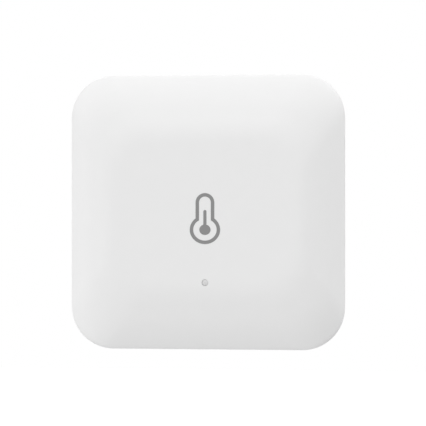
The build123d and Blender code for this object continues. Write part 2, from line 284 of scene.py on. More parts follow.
def finishPiece(piece, body, slot, *replaced, material=None):
    # Stands the piece up, paints it and ties it to its body, slot and CAD nodes
    piece.data.transform(stand)
    piece.data.materials.clear()
    piece.data.materials.append(material or paint[slot])
    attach(piece, body)
    if replaced:
        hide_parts(*replaced)
    print("piece", piece.name, "faces", len(piece.data.polygons))
    return piece


# Geometry Nodes: a wall of rounded rectangles, one ring for each point of a section

def ringLoftTree():
    tree, given, result = newTree("ringLoft", "GeometryNodeTree", {
        "Section": "Geometry", "Width": 0.04, "Height": 0.04, "Corner Radius": 0.007, "Arc Steps": 24,
        "Side Steps": 8, "Material": "Material"}, {"Geometry": "Geometry"})
    levels = addNode(tree, "GeometryNodeAttributeDomainSize", {0: given["Section"]}, component="MESH")
    quarterCount = calc(tree, "ADD", given["Arc Steps"], given["Side Steps"])
    ringCount = calc(tree, "MULTIPLY_ADD", quarterCount, 4.0, 1.0)
    grid = addNode(tree, "GeometryNodeMeshGrid", {"Vertices X": levels.outputs["Point Count"],
                                                  "Vertices Y": ringCount})
    index = addNode(tree, "GeometryNodeInputIndex").outputs[0]
    row = calc(tree, "FLOOR", calc(tree, "DIVIDE", calc(tree, "ADD", index, 0.5), ringCount))
    column = calc(tree, "SUBTRACT", index, calc(tree, "MULTIPLY", row, ringCount))
    quarter = calc(tree, "FLOOR", calc(tree, "DIVIDE", calc(tree, "ADD", column, 0.5), quarterCount))
    step = calc(tree, "SUBTRACT", column, calc(tree, "MULTIPLY", quarter, quarterCount))
    turn = calc(tree, "MINIMUM", calc(tree, "DIVIDE", step, given["Arc Steps"]), 1.0)
    angle = calc(tree, "MULTIPLY", calc(tree, "ADD", quarter, turn), pi / 2)
    along = calc(tree, "DIVIDE", calc(tree, "SUBTRACT", step, given["Arc Steps"]), given["Side Steps"])
    along = calc(tree, "MAXIMUM", along, 0.0)
    cornerTurn = calc(tree, "MULTIPLY", calc(tree, "ADD", quarter, 0.5), pi / 2)
    nextTurn = calc(tree, "ADD", cornerTurn, pi / 2)

    # The section's point gives (inset x, inset y, level), and how much smaller its corner is
    position = addNode(tree, "GeometryNodeInputPosition").outputs[0]
    point = addNode(tree, "GeometryNodeSampleIndex", {0: given["Section"], "Value": position, "Index": row},
                    data_type="FLOAT_VECTOR").outputs[0]
    inset = addNode(tree, "ShaderNodeSeparateXYZ", {0: point}).outputs
    less = addNode(tree, "GeometryNodeInputNamedAttribute", {"Name": "cornerLess"}, data_type="FLOAT").outputs[0]
    less = addNode(tree, "GeometryNodeSampleIndex", {0: given["Section"], "Value": less, "Index": row},
                   data_type="FLOAT").outputs[0]
    radius = calc(tree, "SUBTRACT", given["Corner Radius"], less)
    places = []
    for axis, side, wave in ((0, "Width", "COSINE"), (1, "Height", "SINE")):
        half = calc(tree, "SUBTRACT", calc(tree, "MULTIPLY", given[side], 0.5), inset[axis])
        here = calc(tree, wave, cornerTurn)
        there = calc(tree, wave, nextTurn)
        centre = calc(tree, "ADD", here, calc(tree, "MULTIPLY", calc(tree, "SUBTRACT", there, here), along))
        centre = calc(tree, "MULTIPLY", centre, sqrt(2))
        flatPart = calc(tree, "MULTIPLY", calc(tree, "SUBTRACT", half, radius), centre)
        places.append(calc(tree, "ADD", flatPart, calc(tree, "MULTIPLY", radius, calc(tree, wave, angle))))
    place = addNode(tree, "ShaderNodeCombineXYZ", {0: places[0], 1: places[1], 2: inset[2]}).outputs[0]
    shaped = addNode(tree, "GeometryNodeSetPosition", {0: grid.outputs[0], "Position": place}).outputs[0]
    welded = addNode(tree, "GeometryNodeMergeByDistance", {0: shaped, "Distance": weldDistance}).outputs[0]
    return finishTree(tree, given, result, welded)


# Geometry Nodes: the same round-ended bar again and again along a line

def slotRowTree():
    tree, given, result = newTree("slotRow", "GeometryNodeTree", {
        "Geometry": "Geometry", "Count": 7, "Pitch": 0.002, "Width": 0.001, "Length": 0.004, "Thickness": 0.004,
        "Material": "Material"}, {"Geometry": "Geometry"})
    outline = addNode(tree, "GeometryNodeCurvePrimitiveQuadrilateral",
                      {"Width": given["Width"], "Height": given["Length"]})
    nearlyHalf = 0.499  # of the width, so that the round ends keep apart
    corner = calc(tree, "MULTIPLY", given["Width"], nearlyHalf)
    rounded = addNode(tree, "GeometryNodeFilletCurve", {0: outline.outputs[0], "Count": 8, "Radius": corner,
                                                        "Limit Radius": True}, mode="POLY")
    half = calc(tree, "MULTIPLY", given["Thickness"], 0.5)
    start = addNode(tree, "ShaderNodeCombineXYZ", {2: calc(tree, "MULTIPLY", half, -1.0)}).outputs[0]
    end = addNode(tree, "ShaderNodeCombineXYZ", {2: half}).outputs[0]
    path = addNode(tree, "GeometryNodeCurvePrimitiveLine", {"Start": start, "End": end})
    bar = addNode(tree, "GeometryNodeCurveToMesh", {0: path.outputs[0], "Profile Curve": rounded.outputs[0],
                                                    "Fill Caps": True})
    offset = addNode(tree, "ShaderNodeCombineXYZ", {0: given["Pitch"]}).outputs[0]
    reach = calc(tree, "MULTIPLY", calc(tree, "SUBTRACT", given["Count"], 1.0), given["Pitch"])
    first = addNode(tree, "ShaderNodeCombineXYZ", {0: calc(tree, "MULTIPLY", reach, -0.5)}).outputs[0]
    line = addNode(tree, "GeometryNodeMeshLine", {"Count": given["Count"], "Start Location": first,
                                                  "Offset": offset}, mode="OFFSET")
    copies = addNode(tree, "GeometryNodeInstanceOnPoints", {0: line.outputs[0], "Instance": bar.outputs[0]})
    return finishTree(tree, given, result, copies.outputs[0])


# Geometry Nodes: copies of a small piece in rows and columns

def gridOfTree():
    tree, given, result = newTree("gridOf", "GeometryNodeTree", {
        "Geometry": "Geometry", "Piece": "Object", "Columns": 2, "Rows": 2, "Column Pitch": 0.002,
        "Row Pitch": 0.002, "Row Turn": 0.0, "Turn Spread": 0.0, "Seed": 7, "Material": "Material",
    }, {"Geometry": "Geometry"})
    width = calc(tree, "MULTIPLY", calc(tree, "SUBTRACT", given["Columns"], 1.0), given["Column Pitch"])
    height = calc(tree, "MULTIPLY", calc(tree, "SUBTRACT", given["Rows"], 1.0), given["Row Pitch"])
    grid = addNode(tree, "GeometryNodeMeshGrid", {"Size X": width, "Size Y": height,
                                                  "Vertices X": given["Columns"], "Vertices Y": given["Rows"]})
    index = addNode(tree, "GeometryNodeInputIndex").outputs[0]
    row = calc(tree, "MODULO", index, given["Rows"])
    spread = addNode(tree, "FunctionNodeRandomValue", {"Min": 0.0, "Max": 1.0, "Seed": given["Seed"]},
                     data_type="FLOAT")
    sway = calc(tree, "MULTIPLY", spread.outputs["Value"], given["Turn Spread"])
    turn = calc(tree, "ADD", calc(tree, "MULTIPLY", row, given["Row Turn"]), sway)
    rotation = addNode(tree, "ShaderNodeCombineXYZ", {2: turn}).outputs[0]
    source = addNode(tree, "GeometryNodeObjectInfo", {0: given["Piece"]}, transform_space="ORIGINAL")
    copies = addNode(tree, "GeometryNodeInstanceOnPoints", {0: grid.outputs[0], "Rotation": rotation,
                                                            "Instance": source.outputs["Geometry"]})
    return finishTree(tree, given, result, copies.outputs[0])


# Geometry Nodes: a flat strip that follows drawn lines, such as a trace or a bent contact

def stripTree():
    tree, given, result = newTree("strip", "GeometryNodeTree", {
        "Geometry": "Geometry", "Across": 0.0002, "Tall": 0.00003, "Bend Radius": 0.0003, "Bend Steps": 5,
        "Material": "Material"}, {"Geometry": "Geometry"})
    line = addNode(tree, "GeometryNodeMeshToCurve", {0: given["Geometry"]}).outputs[0]
    level = addNode(tree, "GeometryNodeSetCurveNormal", {0: line}, mode="Z_UP").outputs[0]
    bent = addNode(tree, "GeometryNodeFilletCurve", {0: level, "Count": given["Bend Steps"], "Limit Radius": True,
                                                     "Radius": given["Bend Radius"]}, mode="POLY")
    section = addNode(tree, "GeometryNodeCurvePrimitiveQuadrilateral",
                      {"Width": given["Across"], "Height": given["Tall"]})
    strip = addNode(tree, "GeometryNodeCurveToMesh", {0: bent.outputs[0], "Profile Curve": section.outputs[0],
                                                      "Fill Caps": True}).outputs[0]
    return finishTree(tree, given, result, strip)


ringLoft = ringLoftTree()
slotRow = slotRowTree()
gridOf = gridOfTree()
strip = stripTree()
print("node trees ready")


# Effects that several materials share

def noise(tree, place, scale, detail, roughness=0.5):
    return addNode(tree, "ShaderNodeTexNoise", {"Vector": place, "Scale": scale, "Detail": detail,
                                                "Roughness": roughness}).outputs[0]


def objectPlace(tree):
    return addNode(tree, "ShaderNodeTexCoord").outputs["Object"]


def finishEffect(tree, given, result, shade, height, strength, roughness=None):
    # Every effect ends in its shaded colour, its roughness and its bump
    tinted = addNode(tree, "ShaderNodeVectorMath", {0: given["Color"], "Scale": shade}, operation="SCALE")
    bump = addNode(tree, "ShaderNodeBump", {"Height": height, "Distance": given["Depth"], "Strength": strength})
    tree.links.new(tinted.outputs[0], result["Color"])
    tree.links.new(bump.outputs[0], result["Normal"])
    if roughness is not None:
        tree.links.new(roughness, result["Roughness"])
    return tree


effectOutputs = {"Color": "Color", "Roughness": "Float", "Normal": "Vector"}


def grainGroup():
    # Fine moulded or cast grain: colour, roughness and bump from two sizes of noise
    tree, given, result = newTree("mouldedGrain", "ShaderNodeTree", {
        "Color": (0.8, 0.8, 0.8, 1), "Color Spread": 0.02, "Roughness": 0.45, "Roughness Spread": 0.06,
        "Scale": 9000.0, "Broad Share": 0.04, "Depth": 0.000004}, effectOutputs)
    place = objectPlace(tree)
    fine = noise(tree, place, given["Scale"], detail=4.0, roughness=0.6)
    broadScale = calc(tree, "MULTIPLY", given["Scale"], given["Broad Share"])
    broad = noise(tree, place, broadScale, detail=3.0)
    sway = calc(tree, "SUBTRACT", broad, 0.5)
    shade = calc(tree, "MULTIPLY_ADD", sway, given["Color Spread"], 1.0)
    mixed = calc(tree, "ADD", calc(tree, "SUBTRACT", fine, 0.5), sway)
    rough = calc(tree, "MULTIPLY_ADD", mixed, given["Roughness Spread"], given["Roughness"])
    return finishEffect(tree, given, result, shade, fine, strength=0.6, roughness=rough)


def brushedGroup():
    # Satin metal: fine streaks along x, or rings about the middle where Turned is 1
    tree, given, result = newTree("brushedMetal", "ShaderNodeTree", {
        "Color": (0.5, 0.5, 0.5, 1), "Color Spread": 0.15, "Roughness": 0.35, "Roughness Spread": 0.25,
        "Scale": 14000.0, "Stretch": 0.03, "Turned": 0.0, "Mark Scale": 420.0, "Streak Share": 0.6,
        "Mark Share": 0.4, "Depth": 0.000003}, effectOutputs)
    place = objectPlace(tree)
    x, y, z = addNode(tree, "ShaderNodeSeparateXYZ", {0: place}).outputs
    radius = calc(tree, "SQRT", calc(tree, "ADD", calc(tree, "MULTIPLY", x, x), calc(tree, "MULTIPLY", z, z)))
    shrunk = calc(tree, "MULTIPLY", x, given["Stretch"])
    straight = addNode(tree, "ShaderNodeCombineXYZ", {0: shrunk, 1: y, 2: z}).outputs[0]
    rings = addNode(tree, "ShaderNodeCombineXYZ", {0: radius, 1: y}).outputs[0]
    chosen = addNode(tree, "ShaderNodeMix", {"Factor": given["Turned"], 4: straight, 5: rings},
                     data_type="VECTOR").outputs[1]
    streaks = noise(tree, chosen, given["Scale"], detail=3.0, roughness=0.65)
    marks = noise(tree, place, given["Mark Scale"], detail=4.0, roughness=0.6)
    marked = calc(tree, "MULTIPLY", marks, given["Mark Share"])
    both = calc(tree, "MULTIPLY_ADD", streaks, given["Streak Share"], marked)
    sway = calc(tree, "SUBTRACT", both, 0.5)
    shade = calc(tree, "MULTIPLY_ADD", sway, given["Color Spread"], 1.0)
    rough = calc(tree, "MULTIPLY_ADD", sway, given["Roughness Spread"], given["Roughness"])
    return finishEffect(tree, given, result, shade, streaks, strength=0.7, roughness=rough)


def laminateGroup():
    # Solder mask over glass cloth: the weave shows faintly, with a slow mottle in the mask
    tree, given, result = newTree("glassLaminate", "ShaderNodeTree", {
        "Color": (0.02, 0.16, 0.07, 1), "Weave Pitch": 0.0004, "Weave Spread": 0.10, "Mottle": 0.25,
        "Mottle Scale": 260.0, "Grain Scale": 5000.0, "Roughness": 0.3, "Roughness Spread": 0.15,
        "Depth": 0.000003}, effectOutputs)
    place = objectPlace(tree)
    axes = addNode(tree, "ShaderNodeSeparateXYZ", {0: place}).outputs
    turns = calc(tree, "DIVIDE", 2 * pi, given["Weave Pitch"])
    waves = [calc(tree, "SINE", calc(tree, "MULTIPLY", axes[k], turns)) for k in (0, 2)]
    weave = calc(tree, "MULTIPLY", waves[0], waves[1])
    mottle = noise(tree, place, given["Mottle Scale"], detail=3.0)
    grain = noise(tree, place, given["Grain Scale"], detail=2.0)
    slow = calc(tree, "MULTIPLY", calc(tree, "SUBTRACT", mottle, 0.5), given["Mottle"])
    shade = calc(tree, "ADD", calc(tree, "MULTIPLY_ADD", weave, given["Weave Spread"], 1.0), slow)
    sway = calc(tree, "SUBTRACT", grain, 0.5)
    rough = calc(tree, "MULTIPLY_ADD", sway, given["Roughness Spread"], given["Roughness"])
    height = calc(tree, "MULTIPLY_ADD", weave, 0.5, grain)
    return finishEffect(tree, given, result, shade, height, strength=0.5, roughness=rough)


def foamGroup():
    # Closed-cell foam: small round cells with thin walls between them, the hollow middle of each cell painted darker
    # as shade
    tree, given, result = newTree("foamCells", "ShaderNodeTree", {
        "Color": (0.78, 0.78, 0.76, 1), "Cell Size": 0.0003, "Painted Hollow Shade": 0.16, "Cell Wall": 1.6,
        "Mottle": 0.05, "Mottle Scale": 350.0, "Depth": 0.00006}, {"Color": "Color", "Normal": "Vector"})
    place = objectPlace(tree)
    density = calc(tree, "DIVIDE", 1.0, given["Cell Size"])
    cells = addNode(tree, "ShaderNodeTexVoronoi", {"Vector": place, "Scale": density}, feature="SMOOTH_F1")
    slow = noise(tree, place, given["Mottle Scale"], detail=3.0)
    filled = calc(tree, "MINIMUM", calc(tree, "MULTIPLY", cells.outputs[0], given["Cell Wall"]), 1.0)
    hollow = calc(tree, "SUBTRACT", 1.0, filled)
    # painted shade: each cell's hollow middle is darkened, its walls stay light
    shade = calc(tree, "MULTIPLY_ADD", hollow, calc(tree, "MULTIPLY", given["Painted Hollow Shade"], -1.0), 1.0)
    shade = calc(tree, "MULTIPLY_ADD", calc(tree, "SUBTRACT", slow, 0.5), given["Mottle"], shade)
    return finishEffect(tree, given, result, shade, calc(tree, "SUBTRACT", 1.0, hollow), strength=0.6)


mouldedGrain = grainGroup()
brushedMetal = brushedGroup()
glassLaminate = laminateGroup()
foamCells = foamGroup()


def finish(name, effect, color, values, **sockets):
    # A material from one shared effect, with the plain values set on the shader itself
    material = bpy.data.materials.new(name)
    material.use_nodes = True
    tree = material.node_tree
    shader = tree.nodes["Principled BSDF"]
    group = addNode(tree, "ShaderNodeGroup", node_tree=effect)
    group.inputs["Color"].default_value = (*color, 1)
    for key, value in values.items():
        group.inputs[key].default_value = value
    for output, socket in (("Color", "Base Color"), ("Roughness", "Roughness"), ("Normal", "Normal")):
        if output in group.outputs:
            tree.links.new(group.outputs[output], shader.inputs[socket])
    for key, value in sockets.items():
        shader.inputs[key.replace("_", " ")].default_value = value
    return material


def moulded(name, color, roughness=0.45, spread=0.02, scale=9000.0, depth=0.000004, **sockets):
    return finish(name, mouldedGrain, color, {"Color Spread": spread, "Roughness": roughness, "Scale": scale,
                                              "Depth": depth}, **sockets)


def brushed(name, color, roughness=0.35, turned=0.0, stretch=0.03, scale=14000.0, spread=0.15):
    return finish(name, brushedMetal, color, {"Roughness": roughness, "Turned": turned, "Stretch": stretch,
                                              "Scale": scale, "Color Spread": spread}, Metallic=1.0)


def masked(name, color, mottle=0.25, weave=0.10):
    return finish(name, glassLaminate, color, {"Mottle": mottle, "Weave Spread": weave}, Coat_Weight=0.35,
                  Coat_Roughness=0.15)


def foamed(name, color, cell):
    return finish(name, foamCells, color, {"Cell Size": cell}, Roughness=0.9)


# One material for each slot of the record, and four for details inside a slot
paint = {
    "case_white": moulded("casePlastic", (0.83, 0.83, 0.83), 0.5),
    "plate_white": moulded("platePlastic", (0.80, 0.80, 0.80), 0.55, depth=0.000008, scale=6000.0),
    "pad_foam": foamed("padFoam", (0.80, 0.80, 0.78), 0.00028),
    "cushion_foam": foamed("cushionFoam", (0.12, 0.12, 0.12), 0.00035),
    "sign_grey": moulded("signInk", (0.24, 0.24, 0.24), 0.5, 0.03, 14000.0, 0.000002),
    "clear_plastic": moulded("pipePlastic", (0.70, 0.70, 0.70), 0.25, 0.02, 5000.0, 0.000001,
                             Subsurface_Weight=0.2, Subsurface_Radius=(0.0005, 0.0005, 0.0005)),
    "plunger_white": moulded("plungerPlastic", (0.75, 0.75, 0.73), 0.5),
    "board_green": masked("boardMask", (0.02, 0.16, 0.07)),
    "module_blue": masked("moduleMask", (0.02, 0.06, 0.20)),
    "screw_steel": brushed("screwSteel", (0.42, 0.42, 0.43), 0.32, stretch=1.0),
    "shield_tin": brushed("shieldTin", (0.46, 0.46, 0.45), 0.38),
    "chip_black": moulded("chipCompound", (0.03, 0.03, 0.03), 0.6, 0.2),
    "capacitor_amber": moulded("capacitorAmber", (0.62, 0.33, 0.06), 0.4, 0.1),
    "ceramic_tan": moulded("ceramicTan", (0.46, 0.33, 0.20), 0.45, 0.1),
    "resistor_black": moulded("resistorFilm", (0.04, 0.04, 0.05), 0.4, 0.1),
    "holder_black": moulded("holderPlastic", (0.04, 0.04, 0.04), 0.55, 0.1),
    "contact_nickel": brushed("contactNickel", (0.50, 0.48, 0.43), 0.3),
    "cell_steel": brushed("cellSteel", (0.46, 0.46, 0.455), 0.36, turned=1.0, scale=3200.0, spread=0.4),
    "gasket_grey": moulded("gasketRubber", (0.30, 0.30, 0.30), 0.7),
    "lamp_resin": moulded("lampResin", (0.85, 0.83, 0.72), 0.3),
}
printInk = moulded("printInk", (0.72, 0.72, 0.70), 0.6, 0.06, 14000.0, 0.000002)
traceMask = masked("traceMask", (0.035, 0.25, 0.10), 0.1, 0.0)
padGold = brushed("padGold", (0.80, 0.58, 0.26), 0.3, stretch=1.0)
capacitorBand = moulded("capacitorBand", (0.22, 0.09, 0.02), 0.4, 0.1)
print("materials ready")


# Case front: the section of its wall, from the flat inside, round the rear edge, to the flat outside

case = inMetres({
    "side": 43.0, "cornerRadius": 6.75, "wall": 1.5, "draft": 0.15, "rear": 2.8, "front": 13.98,
    "shoulderEnd": 10.6, "shoulderSide": 7.5, "flatCorner": 6.0, "rimRadius": 1.0, "edgeWidth": 5.1,
    "blendWidth": 3.4, "rearRound": 0.15, "support": 0.25, "flatRing": 0.4, "leastStep": 0.05,
    "innerDraft": 0.02, "innerDraftEnd": 0.4, "outerDraft": 0.004, "edge": 0.12,
    "lightY": -10.75, "lightRadius": 0.5, "faceInside": 12.5, "beyondFace": 15.0, "overrun": 1.0,
    "ventPitch": 2.0, "ventWidth": 0.9, "ventLength": 4.0, "ventMiddle": 6.7,
    "pinRadius": 0.75, "pinLevel": 7.65, "pinReach": 2.0, "notchWidth": 8.0, "notchDepth": 0.9,
    "notchHeight": 1.0, "screwPlace": 14.7, "bossRadius": 2.1, "bossRear": 9.5, "bossFront": 12.7,
    "pilotRadius": 0.8, "pilotEnd": 11.5, "collarOuter": 2.1, "collarInner": 1.3, "collarRear": 10.8,
    "collarFront": 13.2, "catchX": 9.0, "catchY": 19.4, "catchLevel": 7.146, "catchRadius": 1.1,
    "catchLength": 5.3,
}, edgeAngle=38.0, shoulderAngle=13.0, draftInside=0.9, draftAtRim=0.96, rimSteps=6, edgeSteps=14, blendSteps=12,
    arcSteps=28, sideSteps=10, ventCount=7)


def crownLevels():
    # (inset, rise, tilt) up the outside of the crown, seen at the top and bottom
    steep, slope = radians(case.edgeAngle), radians(case.shoulderAngle)
    levels = [(0.0, 0.0, pi / 2)]

    def bend(radius, start, end, steps):
        inset, rise, tilt = levels[-1]
        for k in range(1, steps + 1):
            tilt = start + (end - start) * k / steps
            levels.append((inset + radius * (sin(start) - sin(tilt)),
                           rise + radius * (cos(tilt) - cos(start)), tilt))

    bend(case.rimRadius, pi / 2, steep, case.rimSteps)
    bend(case.edgeWidth / (sin(steep) - sin(slope)), steep, slope, case.edgeSteps)
    inset, rise, tilt = levels[-1]
    run = case.shoulderEnd - inset - case.blendWidth
    levels += [(inset + run * share, rise + run * share * tan(slope), slope) for share in (0.5, 1.0)]
    bend(case.blendWidth / sin(slope), slope, 0.0, case.blendSteps)
    return levels


def sectionPiece(name, rows):
    # rows of (inset x, inset y, level, corner less); edges join them in order
    piece = linePiece(name, [row[:3] for row in rows])
    attribute = piece.data.attributes.new("cornerLess", "FLOAT", "POINT")
    attribute.data.foreach_set("value", [row[3] for row in rows])
    return piece


def caseSection():
    crown = crownLevels()
    rimLevel = case.front - crown[-1][1]

    def crownRow(inset, up, tilt, skin):
        # A point on the crown, or a skin's thickness under it
        inward = skin * sin(tilt)
        share = inset / case.shoulderEnd
        less = case.draft + (case.cornerRadius - case.draft - case.flatCorner) * share + inward
        return (case.draft + share * case.shoulderSide + inward, case.draft + inset + inward,
                rimLevel + up - skin * cos(tilt), less)

    def level(inset, height):
        return (inset, inset, height, inset)

    def onFlat(row):
        # One more ring on the flat keeps its shading clean
        return (row[0] + case.flatRing, row[1] + case.flatRing, row[2], row[3] + case.flatRing)

    wallInset = case.wall + case.draft * case.draftInside
    inner = [crownRow(*point, case.wall) for point in crown[case.rimSteps:]]
    inner = [row for row in inner if row[0] > wallInset + case.leastStep]
    outer = [crownRow(*point, 0.0) for point in crown]
    turn = case.rearRound
    rearEdge = [level(*point) for point in arc(turn, case.rear + turn, turn, -pi / 2, -pi, steps=4)]
    return [
        onFlat(inner[-1]), *inner[::-1],
        level(wallInset, inner[0][2] - case.support),
        level(case.wall + case.innerDraft, case.rear + case.innerDraftEnd),
        level(case.wall, case.rear + turn),
        level(case.wall - case.edge, case.rear),
        level(turn + case.support, case.rear),
        *rearEdge,
        level(case.outerDraft, case.rear + turn + case.support),
        level(case.draft * case.draftAtRim, rimLevel - case.support),
        *outer, onFlat(outer[-1]),
    ]


caseFront = sectionPiece("caseFront", caseSection())
runTree(caseFront, ringLoft, {"Width": case.side, "Height": case.side, "Corner Radius": case.cornerRadius,
                              "Arc Steps": case.arcSteps, "Side Steps": case.sideSteps,
                              "Material": paint["case_white"]})
cleaned(caseFront)
print("case shell", len(caseFront.data.polygons))

corners = fourPlaces(case.screwPlace, case.screwPlace)
stands = [slab("boss", circle(case.bossRadius, x, y, steps=48), case.bossRear, case.bossFront, case.edge)
          for x, y in corners]
stands.append(slab("collar", circle(case.collarOuter, 0, case.lightY, steps=48), case.collarRear,
                   case.collarFront, case.edge))
carve(caseFront, joined("stands", stands), "UNION")

halfSide, halfWall = case.side / 2, case.wall / 2
vents = newPiece("vents", [(0, 0, 0)])
runTree(vents, slotRow, {"Count": case.ventCount, "Pitch": case.ventPitch, "Width": case.ventWidth,
                         "Length": case.ventLength, "Thickness": 2 * case.wall + case.overrun,
                         "Material": paint["case_white"]})
vents.data.transform(Matrix.Translation((halfWall - halfSide, 0, case.ventMiddle)) @ sideView)
lightHole = rod(case.lightRadius, case.faceInside - case.overrun, case.beyondFace, 0, case.lightY)
pinhole = rod(case.pinRadius, -case.pinReach, case.pinReach, steps=40)
pinhole.data.transform(Matrix.Translation((halfSide - halfWall, 0, case.pinLevel)) @ turnToSide)
notch = tube(box(-case.notchWidth / 2, case.notchWidth / 2, -halfSide - case.overrun, -halfSide + case.notchDepth),
             case.rear - case.overrun, case.rear + case.notchHeight)
pilots = [rod(case.pilotRadius, case.bossRear - case.overrun, case.pilotEnd, x, y, steps=32) for x, y in corners]
catches = []
for x, y in fourPlaces(case.catchX, case.catchY):
    catch = rod(case.catchRadius, -case.catchLength / 2, case.catchLength / 2, steps=40)
    catch.data.transform(Matrix.Translation((x, y, case.catchLevel)) @ turnToSide)
    catches.append(catch)
collarBore = rod(case.collarInner, case.collarRear - case.overrun, case.faceInside, 0, case.lightY, steps=40)
cutOut(caseFront, [collarBore], [vents, lightHole, pinhole, notch, *pilots, *catches])
finishPiece(caseFront, "housing", "case_white", "front_shell")

# Light pipe under its hole: stem, flange that seats on the face's inside, and a domed end
pipe = inMetres({"endRadius": 0.475, "end": 13.88, "dome": 0.08, "aside": 0.012, "flangeRadius": 1.2,
                 "flangeRear": 11.9, "stemRadius": 0.9, "rear": 10.3, "seat": 12.5, "y": -10.75, "chamfer": 0.1})
profile = [(0, pipe.rear), (pipe.stemRadius - pipe.chamfer, pipe.rear), (pipe.stemRadius, pipe.rear + pipe.chamfer),
           (pipe.stemRadius, pipe.flangeRear), (pipe.flangeRadius, pipe.flangeRear),
           (pipe.flangeRadius, pipe.seat), (pipe.endRadius, pipe.seat),
           *arc(0, pipe.end, pipe.endRadius, 0, pi / 2, steps=8, tall=pipe.dome)[:-1], (0, pipe.end + pipe.dome)]
lightPipe = cleaned(lathe("lightPipe", profile, steps=48, x=pipe.aside, y=pipe.y + pipe.aside))
finishPiece(lightPipe, "housing", "clear_plastic", "light_pipe")

# Sign on the face: a thin film of ink on the flat
sign = inMetres({"y": -0.955, "height": 7.79, "tubeWidth": 2.87, "bulbAcross": 2.33, "bulbUp": 2.19,
                 "line": 0.53, "stemWidth": 0.48, "stemTop": 2.58, "ballAcross": 0.86, "ballUp": 0.80,
                 "rear": 13.97, "front": 14.0})


def bulbOutline(tubeRadius, bulbAcross, bulbUp, tubeTop, bulbY, steps=40):
    # Round-topped tube on a slightly flattened bulb, anticlockwise from the bulb's left joint
    meet = asin(tubeRadius / bulbAcross)
    bulb = arc(0, bulbY, bulbAcross, pi / 2 + meet, 5 * pi / 2 - meet, 2 * steps, bulbUp)
    return bulb + arc(0, tubeTop, tubeRadius, 0, pi, steps)


signTop = sign.y + sign.height / 2
bulbY = sign.y - sign.height / 2 + sign.bulbUp
tubeRadius = sign.tubeWidth / 2
outer = bulbOutline(tubeRadius, sign.bulbAcross, sign.bulbUp, signTop - tubeRadius, bulbY)
inner = bulbOutline(tubeRadius - sign.line, sign.bulbAcross - sign.line, sign.bulbUp - sign.line,
                    signTop - tubeRadius, bulbY)
count = len(outer)
points = [(x, y, z) for z in (sign.rear, sign.front) for outline in (outer, inner) for x, y in outline]
faces = []
for k in range(count):
    after = (k + 1) % count
    faces += [(k, after, count + after, count + k),
              (2 * count + k, 3 * count + k, 3 * count + after, 2 * count + after),
              (k, 2 * count + k, 2 * count + after, after),
              (count + k, count + after, 3 * count + after, 3 * count + k)]
signOutline = cleaned(newPiece("signOutline", points, (), faces), sharpAngle=40)
finishPiece(signOutline, "housing", "sign_grey", "symbol_outline")
stemRadius = sign.stemWidth / 2
stemLine = bulbOutline(stemRadius, sign.ballAcross, sign.ballUp, signTop - sign.stemTop - stemRadius, bulbY,
                       steps=24)
signStem = cleaned(tube(stemLine, sign.rear, sign.front, "signStem"), sharpAngle=40)
finishPiece(signStem, "housing", "sign_grey", "symbol_stem")
print("sign ready")

# Wall plate: one section from the pad's recess, round the outer edge, over the lip and down to the floor
plate = inMetres({
    "half": 21.3, "corner": 6.4, "rear": 0.4, "front": 2.6, "round": 0.9, "recessHalf": 14.8,
    "recessCorner": 4.3, "recessLevel": 0.8, "floor": 2.0, "lipHalf": 19.85, "lipCorner": 4.95,
    "lipWall": 1.0, "lipFront": 4.2, "edge": 0.12, "middleHalf": 9.0, "middleCorner": 2.0,
    "hookWidth": 5.0, "hookX": 9.0, "hookFace": 19.4, "hookTop": 7.59, "beadRadius": 0.45, "beadLevel": 7.146,
}, roundSteps=6, beadSteps=10, arcSteps=16, sideSteps=6)


def plateSection():
    # (half side, level, corner radius) from the middle of the rear face to the middle of the floor
    edge, half, corner, turn = plate.edge, plate.half, plate.corner, plate.round
    lip, lipCorner, lipFront = plate.lipHalf, plate.lipCorner, plate.lipFront
    recess, recessCorner = plate.recessHalf, plate.recessCorner
    inner, innerCorner = lip - plate.lipWall, lipCorner - plate.lipWall
    rows = [(plate.middleHalf, plate.recessLevel, plate.middleCorner),
            (recess - edge, plate.recessLevel, recessCorner - edge),
            (recess, plate.recessLevel - edge, recessCorner),
            (recess, plate.rear + edge, recessCorner), (recess + edge, plate.rear, recessCorner + edge)]
    rows += [(half - inset, level, corner - inset)
             for inset, level in arc(turn, plate.rear + turn, turn, -pi / 2, -pi, plate.roundSteps)]
    rows += [(half, plate.front - edge, corner), (half - edge, plate.front, corner - edge),
             (lip + edge, plate.front, lipCorner + edge), (lip, plate.front + edge, lipCorner),
             (lip, lipFront - 2 * edge, lipCorner), (lip - 2 * edge, lipFront, lipCorner - 2 * edge),
             (inner + edge, lipFront, innerCorner + edge), (inner, lipFront - edge, innerCorner),
             (inner, plate.floor + edge, innerCorner), (inner - edge, plate.floor, innerCorner - edge),
             (plate.middleHalf, plate.floor, plate.middleCorner)]
    return [(half - side, half - side, level, corner - less) for side, level, less in rows]


backPlate = sectionPiece("backPlate", plateSection())
runTree(backPlate, ringLoft, {"Width": 2 * plate.half, "Height": 2 * plate.half, "Corner Radius": plate.corner,
                              "Arc Steps": plate.arcSteps, "Side Steps": plate.sideSteps,
                              "Material": paint["plate_white"]})
cleaned(backPlate)
